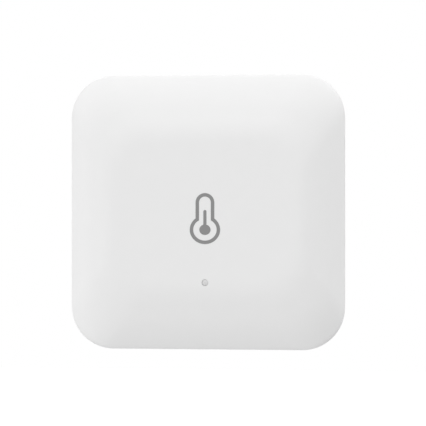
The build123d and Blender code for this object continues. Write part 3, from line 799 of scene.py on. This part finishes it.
# A hook's side view: leg, rounded bead near its tip, and a lead-in
legRear, tipRound = plate.hookFace - plate.lipWall, 2 * plate.edge
hookLine = [(legRear, plate.floor - plate.edge), (plate.hookFace, plate.floor - plate.edge),
            *arc(plate.hookFace, plate.beadLevel, plate.beadRadius, -pi / 2, pi / 2, plate.beadSteps),
            (plate.hookFace - tipRound, plate.hookTop), (legRear + tipRound, plate.hookTop),
            (legRear, plate.hookTop - tipRound)]
hook = slab("hook", hookLine, -plate.hookWidth / 2, plate.hookWidth / 2, plate.edge)
hook.data.transform(sideView)
hooks = repeated("hooks", hook, {"Columns": 2, "Rows": 2, "Column Pitch": 2 * plate.hookX, "Row Pitch": 0.0,
                                 "Row Turn": pi, "Material": paint["plate_white"]})
carve(backPlate, hooks, "UNION")
cleaned(backPlate, closeHoles=False, recalc=False)
finishPiece(backPlate, "wall_plate", "plate_white", "back_plate")

# Foam: the wall pad and the spot under the cell
foam = inMetres({"padSide": 29.0, "padCorner": 4.0, "padThick": 0.8, "padEdge": 0.14, "spotRadius": 5.0,
                 "spotRear": 2.0, "spotFront": 2.4, "spotEdge": 0.15})
foamPad = slab("foamPad", roundedBox(foam.padSide, foam.padSide, foam.padCorner, steps=12), 0.0, foam.padThick,
               foam.padEdge, segments=3)
finishPiece(foamPad, "wall_plate", "pad_foam", "adhesive_pad")
foamSpot = slab("foamSpot", circle(foam.spotRadius, steps=72), foam.spotRear, foam.spotFront, foam.spotEdge,
                segments=3)
finishPiece(foamSpot, "wall_plate", "cushion_foam", "cell_cushion")
print("wall side ready")

# Circuit board with its screw holes, and the slots that keep its warmth from the sensor
board = inMetres({
    "side": 37.0, "corner": 4.0, "rear": 8.5, "front": 9.5, "edge": 0.06, "screwPlace": 14.7, "holeRadius": 0.9,
    "slotX": -14.35, "slotWidth": 0.8, "slotLength": 6.0, "crossY": -2.6, "overrun": 1.0,
    "traceWidth": 0.22, "traceThick": 0.05, "traceBend": 0.4, "inkWidth": 0.15, "inkThick": 0.03, "inkBend": 0.1,
    "viaRadius": 0.32, "viaHole": 0.15, "plating": 0.02, "ringInner": 0.95, "ringOuter": 1.9, "ringRise": 0.05,
    "padRadius": 0.55, "padRise": 0.03, "padPitch": 1.8, "padX": 6.5, "padY": -14.6,
}, padCount=4)
corners = fourPlaces(board.screwPlace, board.screwPlace)
mainBoard = slab("mainBoard", roundedBox(board.side, board.side, board.corner, steps=10), board.rear, board.front,
                 board.edge)
low, high = board.rear - board.overrun, board.front + board.overrun
holes = [rod(board.holeRadius, low, high, x, y, steps=36) for x, y in corners]
slot = tube(rectangle(board.slotWidth, board.slotLength, board.slotX), low, high)
half = board.slotWidth / 2
crossSlot = tube(box(-board.side / 2 - board.overrun, board.slotX + half, board.crossY - half, board.crossY + half),
                 low, high)
cutOut(mainBoard, [*holes, slot], [crossSlot])
finishPiece(mainBoard, "housing", "board_green", "circuit_board")

# Routes in millimetres: from the module down to the rows of chips, to the sensor and to the switch
frontRoutes = [[(2.0 * k, 3.3), (2.0 * k, 1.2), (1.5 * k, -0.3), (1.5 * k, -4.2)] for k in (-2, -1, 0, 1, 2)]
frontRoutes += [[(1.5 * k, -5.9), (1.5 * k, -6.5)] for k in (-2, -1, 0, 1, 2)]
frontRoutes += [[(-3.75, -8.1), (-3.75, -9.4)], [(3.75, -8.1), (4.4, -8.9), (4.4, -9.5)],
                [(-0.75, -8.1), (-0.75, -10.4)], [(0.75, -8.1), (0.75, -10.4)],
                [(-6.4, -10.75), (-9.5, -10.75), (-11.2, -9.0), (-11.2, -2.0), (-8.0, 1.2), (-8.0, 3.3)],
                [(6.9, -10.75), (9.5, -10.75), (11.0, -9.2), (11.0, -1.0), (8.6, 1.4), (6.0, 1.4), (6.0, 3.3)]]
frontRoutes += [[(-8.2, 5.0 + k), (-10.0 - 0.4 * k, 5.0 + k), (-12.6, 2.6 + 0.8 * k)] for k in range(4)]
frontRoutes += [[(8.2, 6.0 + k), (11.5 + 0.3 * k, 6.0 + k), (13.4, 4.1 + k), (13.4, 2.0 + 1.4 * k)]
                for k in range(3)]
rearRoutes = [[(-12.6, 2.6 + 0.8 * k), (-14.2, 4.2 + 0.5 * k), (-15.4 - 0.4 * k, 4.2 + 0.5 * k),
               (-15.4 - 0.5 * k, 1.6)] for k in range(4)]
rearRoutes += [[(13.4, 2.0 + 1.4 * k), (15.6, 2.0 + 1.4 * k), (15.6 + 0.6 * k, 2.9)] for k in range(2)]


def tracePiece(name, routes, level, width, thick, bend, material):
    # Flat lines on the board, from routes in millimetres
    points, edges = [], []
    for route in routes:
        edges += [(len(points) + k, len(points) + k + 1) for k in range(len(route) - 1)]
        points += [(x * mm, y * mm, level) for x, y in route]
    piece = newPiece(name, points, edges)
    runTree(piece, strip, {"Across": width, "Tall": thick, "Bend Radius": bend, "Bend Steps": 3,
                           "Material": material})
    return cleaned(piece, closeHoles=False)


def openFrame(x0, x1, y0, y1, gap=0.6):
    # Corner brackets round a part, left open halfway along its longer sides
    middle = (x0 + x1) / 2
    return [[(middle - gap, y1), (x0, y1), (x0, y0), (middle - gap, y0)],
            [(middle + gap, y1), (x1, y1), (x1, y0), (middle + gap, y0)]]


for name, routes, level in (("frontTraces", frontRoutes, board.front), ("rearTraces", rearRoutes, board.rear)):
    traces = tracePiece(name, routes, level, board.traceWidth, board.traceThick, board.traceBend, traceMask)
    finishPiece(traces, "housing", "board_green", material=traceMask)
inkRoutes = openFrame(-3.9, 3.9, -6.05, -4.05, 3.2) + openFrame(-4.6, 4.6, -8.3, -6.2, 3.9)
inkRoutes += openFrame(-6.75, -2.85, -12.35, -9.15) + openFrame(3.0, 7.2, -12.5, -9.0)
inkRoutes += openFrame(-1.1, 1.1, -11.4, -10.1, 0.5) + [[(7.55, -12.1), (7.55, -9.4)]]
inkRoutes += openFrame(2.9, 10.1, -15.5, -13.7, 2.6) + openFrame(-8.4, 8.4, 3.1, 17.9, 5.5)
printed = tracePiece("boardPrint", inkRoutes, board.front, board.inkWidth, board.inkThick, board.inkBend, printInk)
finishPiece(printed, "housing", "case_white", material=printInk)

# Vias, rings round the screw holes, and a row of test pads
viaPlaces = [(-12.6, 2.6 + 0.8 * k) for k in range(4)] + [(13.4, 2.0 + 1.4 * k) for k in range(3)]
viaPlaces += [(-8.0, 1.8), (6.0, 2.2), (-11.2, -6.0), (11.0, -6.0)]
rear = board.rear - board.plating
vias = [washer(board.viaHole, board.viaRadius, rear, board.front + board.plating, x * mm, y * mm, steps=16)
        for x, y in viaPlaces]
rings = [washer(board.ringInner, board.ringOuter, rear, board.rear + board.ringRise, x, y, steps=40)
         for x, y in corners]
pad = slab("pad", circle(board.padRadius, steps=28), board.front, board.front + board.padRise)
testPads = repeated("testPads", pad, {"Columns": board.padCount, "Rows": 1, "Column Pitch": board.padPitch,
                                      "Material": padGold})
boardPads = joined("boardPads", [*vias, *rings, moved(testPads, board.padX, board.padY)])
finishPiece(cleaned(boardPads, closeHoles=False), "housing", "contact_nickel", material=padGold)
print("board ready")

# Screws: pan head with a cross, and a real thread
screw = inMetres({
    "place": 14.7, "headRadius": 1.5, "headRear": 7.5, "seat": 8.5, "headRound": 0.35, "seatEdge": 0.05,
    "shankRadius": 0.79, "coreRadius": 0.6, "end": 11.48, "pitch": 0.5, "tip": 0.3, "inHead": 0.1,
    "crossWidth": 0.45, "crossLength": 1.7, "crossDepth": 0.55, "crossEdge": 0.04, "overrun": 1.0,
}, steps=36, rings=42, tipShare=0.55)
rounding, seatEdge = screw.headRound, screw.seatEdge
profile = [(0, screw.headRear),
           *arc(screw.headRadius - rounding, screw.headRear + rounding, rounding, -pi / 2, 0, steps=5),
           (screw.headRadius, screw.seat - seatEdge), (screw.headRadius - seatEdge, screw.seat), (0, screw.seat)]
screwHead = cleaned(lathe("screwHead", profile, steps=48))
carve(screwHead, cleaned(tube(plusOutline(screw.crossWidth, screw.crossLength), screw.headRear - screw.overrun,
                              screw.headRear + screw.crossDepth)))
cleaned(bevelled(screwHead, screw.crossEdge, angle=60))
points, faces = [], []
shankRear = screw.seat - screw.inHead
for ring in range(screw.rings + 1):
    level = shankRear + (screw.end - shankRear) * ring / screw.rings
    fade = min(1.0, (screw.end - level) / screw.tip)
    for k in range(screw.steps):
        phase = ((level - screw.seat) / screw.pitch - k / screw.steps) % 1.0
        ridge = max(0.0, 1.0 - abs(phase - 0.5) * 4.0)  # a ridge on half of each turn
        radius = screw.coreRadius + (screw.shankRadius - screw.coreRadius) * ridge
        radius *= screw.tipShare + (1 - screw.tipShare) * fade
        angle = 2 * pi * k / screw.steps
        points.append((radius * cos(angle), radius * sin(angle), level))
for ring in range(screw.rings):
    low, high = ring * screw.steps, (ring + 1) * screw.steps
    for k in range(screw.steps):
        after = (k + 1) % screw.steps
        faces.append((low + k, low + after, high + after, high + k))
shank = cleaned(newPiece("shank", points, (), faces), sharpAngle=50)
boardScrews = repeated("boardScrews", joined("screw", [screwHead, shank]), {
    "Columns": 2, "Rows": 2, "Column Pitch": 2 * screw.place, "Row Pitch": 2 * screw.place, "Turn Spread": pi,
    "Material": paint["screw_steel"]})
finishPiece(boardScrews, "housing", "screw_steel", "board_screws")

# Radio module: board with plated half-round edges, its aerial line, the can and the chip under it
radio = inMetres({
    "width": 16.0, "length": 14.0, "y": 10.5, "rear": 9.5, "front": 10.3, "edge": 0.05, "overrun": 1.0,
    "padPitch": 1.27, "padRadius": 0.4, "padHole": 0.22, "padRise": 0.025,
    "canWidth": 12.4, "canLength": 8.6, "canY": 8.5, "canFront": 12.1, "canCorner": 0.4, "canWall": 0.2,
    "canEdge": 0.25, "ventRadius": 0.3, "ventPitch": 3.0, "ventY": 3.2,
    "chipSide": 5.0, "chipFront": 11.2, "chipEdge": 0.08, "markRadius": 0.3, "markPlace": 1.8, "markDepth": 0.06,
    "aerialX": -6.2, "aerialY": 3.4, "aerialWidth": 0.5, "aerialThick": 0.05, "aerialBend": 0.05,
    "aerialStep": 1.3, "aerialReach": 2.6,
}, padCount=10, lowerCount=8, padSteps=10, aerialTurns=9)
moduleBoard = slab("moduleBoard", rectangle(radio.width, radio.length), radio.rear, radio.front, radio.edge)
low, high = radio.rear - radio.overrun, radio.front + radio.overrun
sideRow = [(k - (radio.padCount - 1) / 2) * radio.padPitch for k in range(radio.padCount)]
lowerRow = [(k - (radio.lowerCount - 1) / 2) * radio.padPitch for k in range(radio.lowerCount)]
edgeCuts = [rod(radio.padHole, low, high, x, y, steps=16)
            for x in (-radio.width / 2, radio.width / 2) for y in sideRow]
edgeCuts += [rod(radio.padHole, low, high, x, -radio.length / 2, steps=16) for x in lowerRow]
cutOut(moduleBoard, edgeCuts)
finishPiece(moved(moduleBoard, 0, radio.y), "housing", "module_blue", "radio_module_board")


def halfPad():
    # Half ring of plating, open side towards +X, a touch proud of the front
    line = arc(0, 0, radio.padRadius, pi / 2, 3 * pi / 2, radio.padSteps)
    line += arc(0, 0, radio.padHole, 3 * pi / 2, pi / 2, radio.padSteps)
    return slab("halfPad", line, radio.rear, radio.front + radio.padRise)


column = {"Columns": 1, "Row Pitch": radio.padPitch, "Material": padGold}
sidePads = repeated("sidePads", moved(halfPad(), radio.width / 2), {**column, "Rows": radio.padCount})
otherPads = newPiece("otherPads")
otherPads.data = sidePads.data.copy()
otherPads.data.transform(Matrix.Rotation(pi, 4, "Z"))
lowerPads = repeated("lowerPads", halfPad(), {**column, "Rows": radio.lowerCount})
lowerPads.data.transform(Matrix.Translation((0, -radio.length / 2, 0)) @ Matrix.Rotation(-pi / 2, 4, "Z"))
line = [(radio.aerialX, radio.aerialY, radio.front)]
rows = (radio.aerialY, radio.aerialY + radio.aerialReach)
for k in range(radio.aerialTurns):
    x = radio.aerialX + k * radio.aerialStep
    line += [(x, rows[k % 2], radio.front), (x, rows[(k + 1) % 2], radio.front)]
aerial = linePiece("aerial", list(dict.fromkeys(line)))
runTree(aerial, strip, {"Across": radio.aerialWidth, "Tall": radio.aerialThick, "Bend Radius": radio.aerialBend,
                        "Bend Steps": 2, "Material": padGold})
modulePads = cleaned(joined("modulePads", [sidePads, otherPads, lowerPads, aerial]))
finishPiece(moved(modulePads, 0, radio.y), "housing", "contact_nickel", material=padGold)

shieldCan = slab("shieldCan", roundedBox(radio.canWidth, radio.canLength, radio.canCorner, 0, radio.canY, steps=6),
                 radio.front, radio.canFront, radio.canEdge, segments=4)
hollow = tube(roundedBox(radio.canWidth - 2 * radio.canWall, radio.canLength - 2 * radio.canWall, radio.canWall,
                         0, radio.canY, steps=6), radio.front - radio.overrun, radio.canFront - radio.canWall)
# small vent holes along the top, as folded shields have
canVents = [rod(radio.ventRadius, radio.canFront - radio.overrun, radio.canFront + radio.overrun,
                place * radio.ventPitch, radio.canY + radio.ventY, steps=20)
            for place in (-1.5, -0.5, 0.5, 1.5)]
cutOut(shieldCan, [hollow], *[[vent] for vent in canVents])
finishPiece(shieldCan, "housing", "shield_tin", "radio_shield")
radioChip = slab("radioChip", rectangle(radio.chipSide, radio.chipSide, 0, radio.canY), radio.front,
                 radio.chipFront, radio.chipEdge)
mark = rod(radio.markRadius, radio.chipFront - radio.markDepth, radio.chipFront + radio.overrun,
           -radio.markPlace, radio.canY + radio.markPlace, steps=20)
cutOut(radioChip, [mark])
finishPiece(radioChip, "housing", "chip_black", "radio_chip")
print("radio ready")

# Chips in rows: a body and two tinned ends each
chips = inMetres({
    "width": 0.8, "length": 1.6, "end": 0.32, "pitch": 1.5, "rear": 9.5, "edge": 0.05, "thin": 0.02,
    "capacitorY": -5.05, "capacitorHeight": 0.8, "resistorY": -7.25, "resistorHeight": 0.45,
}, capacitorCount=5, resistorCount=6)


def chipRow(name, y, height, count, slotName, node):
    half, bodyHalf, thin = chips.width / 2, chips.length / 2 - chips.end, chips.thin
    body = slab("body", box(thin - half, half - thin, -bodyHalf - thin, bodyHalf + thin), chips.rear,
                chips.rear + height - thin, chips.edge)
    ends = [slab("end", box(-half, half, *sorted((side * bodyHalf, side * (bodyHalf + chips.end)))), chips.rear,
                 chips.rear + height, chips.edge) for side in (-1, 1)]
    row = {"Columns": count, "Rows": 1, "Column Pitch": chips.pitch}
    bodies = repeated(name + "Bodies", body, {**row, "Material": paint[slotName]})
    caps = repeated(name + "Ends", joined("ends", ends), {**row, "Material": paint["shield_tin"]})
    finishPiece(moved(bodies, 0, y), "housing", slotName, node)
    finishPiece(moved(caps, 0, y), "housing", "shield_tin", node)


chipRow("capacitor", chips.capacitorY, chips.capacitorHeight, chips.capacitorCount, "ceramic_tan",
        "chip_capacitors")
chipRow("resistor", chips.resistorY, chips.resistorHeight, chips.resistorCount, "resistor_black",
        "chip_resistors")

# Timing crystal: ceramic base and metal lid
crystal = inMetres({"x": -4.8, "y": -10.75, "width": 3.2, "length": 2.5, "corner": 0.25, "rear": 9.5,
                    "lidRear": 9.9, "lidSunk": 0.02, "lidInset": 0.15, "lidCorner": 0.35, "front": 10.2,
                    "edge": 0.04, "lidEdge": 0.1})
crystalBase = slab("crystalBase", roundedBox(crystal.width, crystal.length, crystal.corner, crystal.x, crystal.y,
                                             steps=4), crystal.rear, crystal.lidRear, crystal.edge)
finishPiece(crystalBase, "housing", "chip_black", "timing_crystal")
lidLine = roundedBox(crystal.width - 2 * crystal.lidInset, crystal.length - 2 * crystal.lidInset,
                     crystal.lidCorner, crystal.x, crystal.y, steps=6)
crystalLid = slab("crystalLid", lidLine, crystal.lidRear - crystal.lidSunk, crystal.front, crystal.lidEdge,
                  segments=3)
finishPiece(crystalLid, "housing", "shield_tin", "timing_crystal")

# Buffer capacitor: amber body, a darker band at its plus end, and a folded tab at each end
buffer = inMetres({
    "x": 5.1, "y": -10.75, "width": 3.5, "length": 2.8, "rear": 9.5, "front": 11.4, "inset": 0.1, "edge": 0.12,
    "bandWidth": 0.5, "bandInset": 0.35, "bandRise": 0.02, "bandDepth": 0.1, "bandShort": 0.15,
    "tabWidth": 2.2, "tabThick": 0.12, "tabHeight": 0.9, "tabEdge": 0.04,
    "footLength": 0.9, "footHeight": 0.11, "footEdge": 0.03,
})
left, right = buffer.x - buffer.width / 2, buffer.x + buffer.width / 2
low, high = buffer.y - buffer.length / 2, buffer.y + buffer.length / 2
bufferBody = slab("bufferBody", box(left + buffer.inset, right - buffer.inset, low, high),
                  buffer.rear + buffer.inset, buffer.front - buffer.bandRise, buffer.edge, segments=3)
finishPiece(bufferBody, "housing", "capacitor_amber", "buffer_capacitor")
bandEnd = right - buffer.bandInset
bufferBand = slab("bufferBand", box(bandEnd - buffer.bandWidth, bandEnd, low + buffer.bandShort,
                                    high - buffer.bandShort), buffer.front - buffer.bandDepth, buffer.front)
finishPiece(bufferBand, "housing", "capacitor_amber", "buffer_capacitor", material=capacitorBand)
tabs = []
for side in (-1, 1):
    for length, height, edge in ((buffer.tabThick, buffer.tabHeight, buffer.tabEdge),
                                 (buffer.footLength, buffer.footHeight, buffer.footEdge)):
        x0, x1 = sorted((buffer.x + side * (buffer.width / 2 - length), buffer.x + side * buffer.width / 2))
        tabs.append(slab("tab", box(x0, x1, buffer.y - buffer.tabWidth / 2, buffer.y + buffer.tabWidth / 2),
                         buffer.rear, buffer.rear + height, edge))
finishPiece(cleaned(joined("bufferTabs", tabs)), "housing", "shield_tin", "buffer_capacitor")

# Status lamp under the light pipe
lamp = inMetres({"y": -10.75, "length": 1.6, "width": 0.8, "rear": 9.5, "base": 9.8, "front": 10.1,
                 "baseEdge": 0.03, "lensLength": 1.1, "lensCorner": 0.08, "lensSunk": 0.02, "lensEdge": 0.12})
lampBase = slab("lampBase", rectangle(lamp.length, lamp.width, 0, lamp.y), lamp.rear, lamp.base, lamp.baseEdge)
lampLens = slab("lampLens", roundedBox(lamp.lensLength, lamp.width, lamp.lensCorner, 0, lamp.y, steps=4),
                lamp.base - lamp.lensSunk, lamp.front, lamp.lensEdge, segments=3)
finishPiece(cleaned(joined("statusLamp", [lampBase, lampLens])), "housing", "lamp_resin", "status_led")

# Sensor on the board's rear, with its round window
sensor = inMetres({"x": -16.4, "side": 2.5, "rear": 7.6, "seat": 8.5, "edge": 0.06, "windowRadius": 0.5,
                   "windowDepth": 0.3, "overrun": 1.0})
sensorChip = slab("sensorChip", rectangle(sensor.side, sensor.side, sensor.x), sensor.rear, sensor.seat, sensor.edge)
cutOut(sensorChip, [rod(sensor.windowRadius, sensor.rear - sensor.overrun, sensor.rear + sensor.windowDepth,
                        sensor.x, steps=32)])
finishPiece(sensorChip, "housing", "chip_black", "sensor_chip")
print("chips ready")

# Reset switch: body with the plunger's room, folded cover, and the plunger
switch = inMetres({
    "x0": 15.9, "x1": 18.5, "width": 4.4, "rear": 6.8, "front": 8.5, "cover": 0.15, "middle": 7.65,
    "plungerX0": 17.5, "plungerX1": 19.2, "plungerWidth": 1.9, "plungerHeight": 0.8, "plungerEdge": 0.15,
    "fit": 0.08, "behind": 0.4, "edge": 0.06, "coverEdge": 0.05, "dimpleRadius": 0.35, "dimpleX": 16.8,
    "dimpleDepth": 0.14, "overrun": 1.0,
})
half, tall = switch.width / 2, switch.plungerHeight / 2
switchBody = slab("switchBody", box(switch.x0, switch.x1, -half, half), switch.rear, switch.front, switch.edge)
room = switch.plungerWidth / 2 + switch.fit
cutOut(switchBody, [tube(box(switch.plungerX0 - switch.behind, switch.x1 + switch.overrun, -room, room),
                         switch.middle - tall - switch.fit, switch.middle + tall + switch.fit)])
finishPiece(switchBody, "housing", "chip_black", "reset_switch_body")
coverRear, outside = switch.rear - switch.cover, half + switch.cover
switchCover = slab("switchCover", box(switch.x0, switch.x1, -outside, outside), coverRear, switch.front,
                   switch.coverEdge)
inside = tube(box(switch.x0 - switch.overrun, switch.x1 + switch.overrun, -half, half), switch.rear,
              switch.front + switch.overrun)
dimple = rod(switch.dimpleRadius, coverRear - switch.overrun, coverRear + switch.dimpleDepth, switch.dimpleX,
             steps=24)
cutOut(switchCover, [inside], [dimple])
finishPiece(switchCover, "housing", "shield_tin", "reset_switch_cover")
half = switch.plungerWidth / 2
resetPlunger = slab("resetPlunger", box(switch.plungerX0, switch.plungerX1, -half, half), switch.middle - tall,
                    switch.middle + tall, switch.plungerEdge, segments=4)
finishPiece(resetPlunger, "reset_button", "plunger_white", "reset_plunger")

# Cell holder and its two contacts
holder = inMetres({
    "inner": 12.45, "outer": 13.45, "rear": 4.5, "floor": 7.9, "front": 8.5, "leadIn": 0.35, "rimRound": 0.2,
    "rimCut": 0.06, "edge": 0.08, "windowX": 5.5, "windowY": 2.0, "windowRear": 6.0, "gateX": 3.5,
    "gateY0": 12.05, "gateY1": 14.45, "gateRear": 3.0, "notchX": 4.5, "beyond": 10.0,
    "metal": 0.2, "bend": 0.45, "clipWidth": 6.0, "springWidth": 3.0,
}, bendSteps=5)
profile = [(0, holder.floor), (holder.inner, holder.floor), (holder.inner, holder.rear + holder.leadIn),
           (holder.inner + holder.leadIn, holder.rear), (holder.outer - holder.rimRound, holder.rear),
           (holder.outer - holder.rimCut, holder.rear + holder.rimCut),
           (holder.outer, holder.rear + holder.rimRound), (holder.outer, holder.front), (0, holder.front)]
cellHolder = cleaned(lathe("cellHolder", profile, steps=128))
window = tube(box(-holder.windowX, holder.windowX, -holder.windowY, holder.windowY), holder.windowRear,
              holder.beyond)
gate = tube(box(-holder.gateX, holder.gateX, holder.gateY0, holder.gateY1), holder.gateRear, holder.beyond)
thumbNotch = tube(box(-holder.notchX, holder.notchX, -holder.gateY1, -holder.gateY0), holder.gateRear, holder.floor)
carve(cellHolder, joined("openings", [cleaned(cut) for cut in (window, gate, thumbNotch)]))
cleaned(bevelled(cellHolder, holder.edge, angle=50), closeHoles=False, recalc=False)
finishPiece(cellHolder, "housing", "holder_black", "cell_holder")


def bentStrip(name, line, width, turn, node):
    # The line is drawn flat in millimetres, its strip stands on edge, and the turn brings it into place
    piece = linePiece(name, [(a * mm, b * mm, 0) for a, b in line])
    runTree(piece, strip, {"Across": holder.metal, "Tall": width, "Bend Radius": holder.bend,
                           "Bend Steps": holder.bendSteps, "Material": paint["contact_nickel"]})
    cleaned(piece, closeHoles=False)
    piece.data.transform(turn)
    return finishPiece(piece, "housing", "contact_nickel", node)


bentStrip("positiveClip", [(12.45, 3.8), (12.45, 8.4), (15.75, 8.4)], holder.clipWidth, sideView,
          "positive_contact")
bentStrip("negativeSpring", [(-5, 8.4), (-3.2, 8.4), (-1.4, 7.7), (1.4, 7.7), (3.2, 8.4), (5, 8.4)],
          holder.springWidth, stand, "negative_contact")
print("holder ready")

# Coin cell: can with its plus sign, seal and cap
cell = inMetres({
    "radius": 12.25, "rear": 2.5, "rim": 7.1, "shell": 0.3, "round": 0.45, "lipRadius": 11.2, "lipEdge": 0.08,
    "lipTurn": 0.1, "innerTurn": 0.3, "capRadius": 10.85, "capRear": 5.9, "front": 7.5, "sealFront": 7.275,
    "sealEdge": 0.06, "plusLength": 4.0, "plusWidth": 0.7, "plusDepth": 0.08, "overrun": 1.0,
}, steps=120, turnSteps=6, sharpAngle=28)
turn, shell = cell.round, cell.shell
shoulder, inner = cell.radius - turn, cell.radius - shell
canFloor, rimInside = cell.rear + shell, cell.rim - shell
profile = [(0, cell.rear), *arc(shoulder, cell.rear + turn, turn, -pi / 2, 0, cell.turnSteps),
           *arc(shoulder, cell.rim - turn, turn, 0, pi / 2, cell.turnSteps),
           (cell.lipRadius + cell.lipEdge, cell.rim), (cell.lipRadius, cell.rim - cell.lipEdge),
           (cell.lipRadius, cell.rim - 2 * shell), (cell.lipRadius + cell.lipTurn, rimInside - cell.lipTurn),
           (inner - cell.innerTurn, rimInside), (inner, rimInside - cell.innerTurn),
           (inner, canFloor + cell.innerTurn), (inner - cell.innerTurn, canFloor), (0, canFloor)]
cellCan = cleaned(lathe("cellCan", profile, cell.steps), cell.sharpAngle)
plusCut = tube(plusOutline(cell.plusWidth, cell.plusLength), cell.rear - cell.overrun, cell.rear + cell.plusDepth)
cutOut(cellCan, [plusCut], sharpAngle=cell.sharpAngle)
finishPiece(cellCan, "coin_cell", "cell_steel", "cell_can")
sealLevel = cell.sealFront - cell.sealEdge
profile = [(cell.capRadius, cell.capRear), (cell.lipRadius, cell.capRear), (cell.lipRadius, sealLevel),
           (cell.lipRadius - cell.lipEdge, cell.sealFront), (cell.capRadius + cell.lipEdge, cell.sealFront),
           (cell.capRadius, sealLevel), (cell.capRadius, cell.capRear)]
cellGasket = cleaned(lathe("cellGasket", profile, cell.steps), closeHoles=False)
finishPiece(cellGasket, "coin_cell", "gasket_grey", "cell_gasket")
capInside = cell.capRadius - shell
profile = [(0, cell.front), *arc(cell.capRadius - turn, cell.front - turn, turn, pi / 2, 0, cell.turnSteps),
           (cell.capRadius, cell.capRear), (capInside, cell.capRear), (capInside, cell.front - turn),
           (cell.capRadius - turn, cell.front - shell), (0, cell.front - shell)]
cellCap = cleaned(lathe("cellCap", profile, cell.steps), cell.sharpAngle)
finishPiece(cellCap, "coin_cell", "cell_steel", "cell_cap")
print("cell ready")

# CAD nodes keep their shape and take the same materials
slotOf = {part["node"]: part["material_slot"] for part in frame["record"]["subparts"]}
for name, node in frame["nodes"].items():
    node.data.materials.clear()
    node.data.materials.append(paint[slotOf[name]])

# Floor, world and lamps; each lamp has its place and size in metres and its power in watts
studio = inMetres({"floorLevel": -750.0, "floorHalf": 6000.0}, floorGlow=0.8, worldLevel=0.6, lamps=[
    ("frontLight", (0, -1.052, 0.578), 0.6, 4.08),
    ("topLeftLight", (-0.812, -0.348, 0.812), 0.6, 3.05),
    ("topRightLight", (0.849, 0, 0.849), 0.6, 4.33),
    ("lowLeftLight", (-0.474, -0.203, -0.474), 0.4, 0.98),
])


def backgroundRays(tree):
    # 1 where the background itself shows: seen straight, in a reflection or through clear plastic
    rays = addNode(tree, "ShaderNodeLightPath").outputs
    mirrored = calc(tree, "MAXIMUM", rays["Is Camera Ray"], rays["Is Glossy Ray"])
    return calc(tree, "MAXIMUM", mirrored, rays["Is Transmission Ray"])


floorPaint = bpy.data.materials.new("floorPaint")
floorPaint.use_nodes = True
tree = floorPaint.node_tree
shader = tree.nodes["Principled BSDF"]
shader.inputs["Base Color"].default_value = (0.7, 0.7, 0.7, 1)
shader.inputs["Roughness"].default_value = 0.9
shader.inputs["Emission Color"].default_value = (1, 1, 1, 1)
tree.links.new(calc(tree, "MULTIPLY", backgroundRays(tree), studio.floorGlow), shader.inputs["Emission Strength"])
floorSide = 2 * studio.floorHalf
floor = newPiece("floor", [(x, y, studio.floorLevel) for x, y in rectangle(floorSide, floorSide)], (), [(0, 1, 2, 3)])
floor.data.materials.append(floorPaint)

world = bpy.data.worlds.new("studio")
bpy.context.scene.world = world
world.use_nodes = True
tree = world.node_tree
background = tree.nodes["Background"]
background.inputs["Color"].default_value = (1, 1, 1, 1)
level = calc(tree, "MULTIPLY_ADD", backgroundRays(tree), 1.0 - studio.worldLevel, studio.worldLevel)
tree.links.new(level, background.inputs["Strength"])

for name, place, size, power in studio.lamps:
    light = bpy.data.lights.new(name, "AREA")
    light.shape = "SQUARE"
    light.size = size
    light.energy = power
    areaLight = bpy.data.objects.new(name, light)
    bpy.context.scene.collection.objects.link(areaLight)
    areaLight.location = place
    areaLight.rotation_euler = (-Vector(place)).to_track_quat("-Z", "Y").to_euler()

# Camera: a little to the right of the middle, level with the case, at the photo's scale
camera = inMetres({"distance": 207.0, "aimX": 0.64, "aimY": -7.0, "aimZ": -0.103, "near": 10.0, "far": 20000.0},
                  azimuth=4.9, elevation=0.0, pixelsPerMm=6.325, frame=426, sensor=36.0)
turn, lift = radians(camera.azimuth), radians(camera.elevation)
back = Vector((sin(turn) * cos(lift), -cos(turn) * cos(lift), sin(lift)))
across = Vector((cos(turn), sin(turn), 0))
aim = Vector((0, camera.aimY, camera.aimZ)) + across * camera.aimX
cameraData = bpy.data.cameras.new("camera")
cameraData.sensor_width = camera.sensor
cameraData.lens = camera.sensor * camera.distance / (camera.frame / camera.pixelsPerMm * mm)
cameraData.clip_start = camera.near
cameraData.clip_end = camera.far
view = bpy.data.objects.new("camera", cameraData)
bpy.context.scene.collection.objects.link(view)
view.location = aim + back * camera.distance
view.rotation_euler = (-back).to_track_quat("-Z", "Y").to_euler()
bpy.context.scene.camera = view
bpy.context.scene.view_settings.view_transform = "Standard"
print("stage ready")
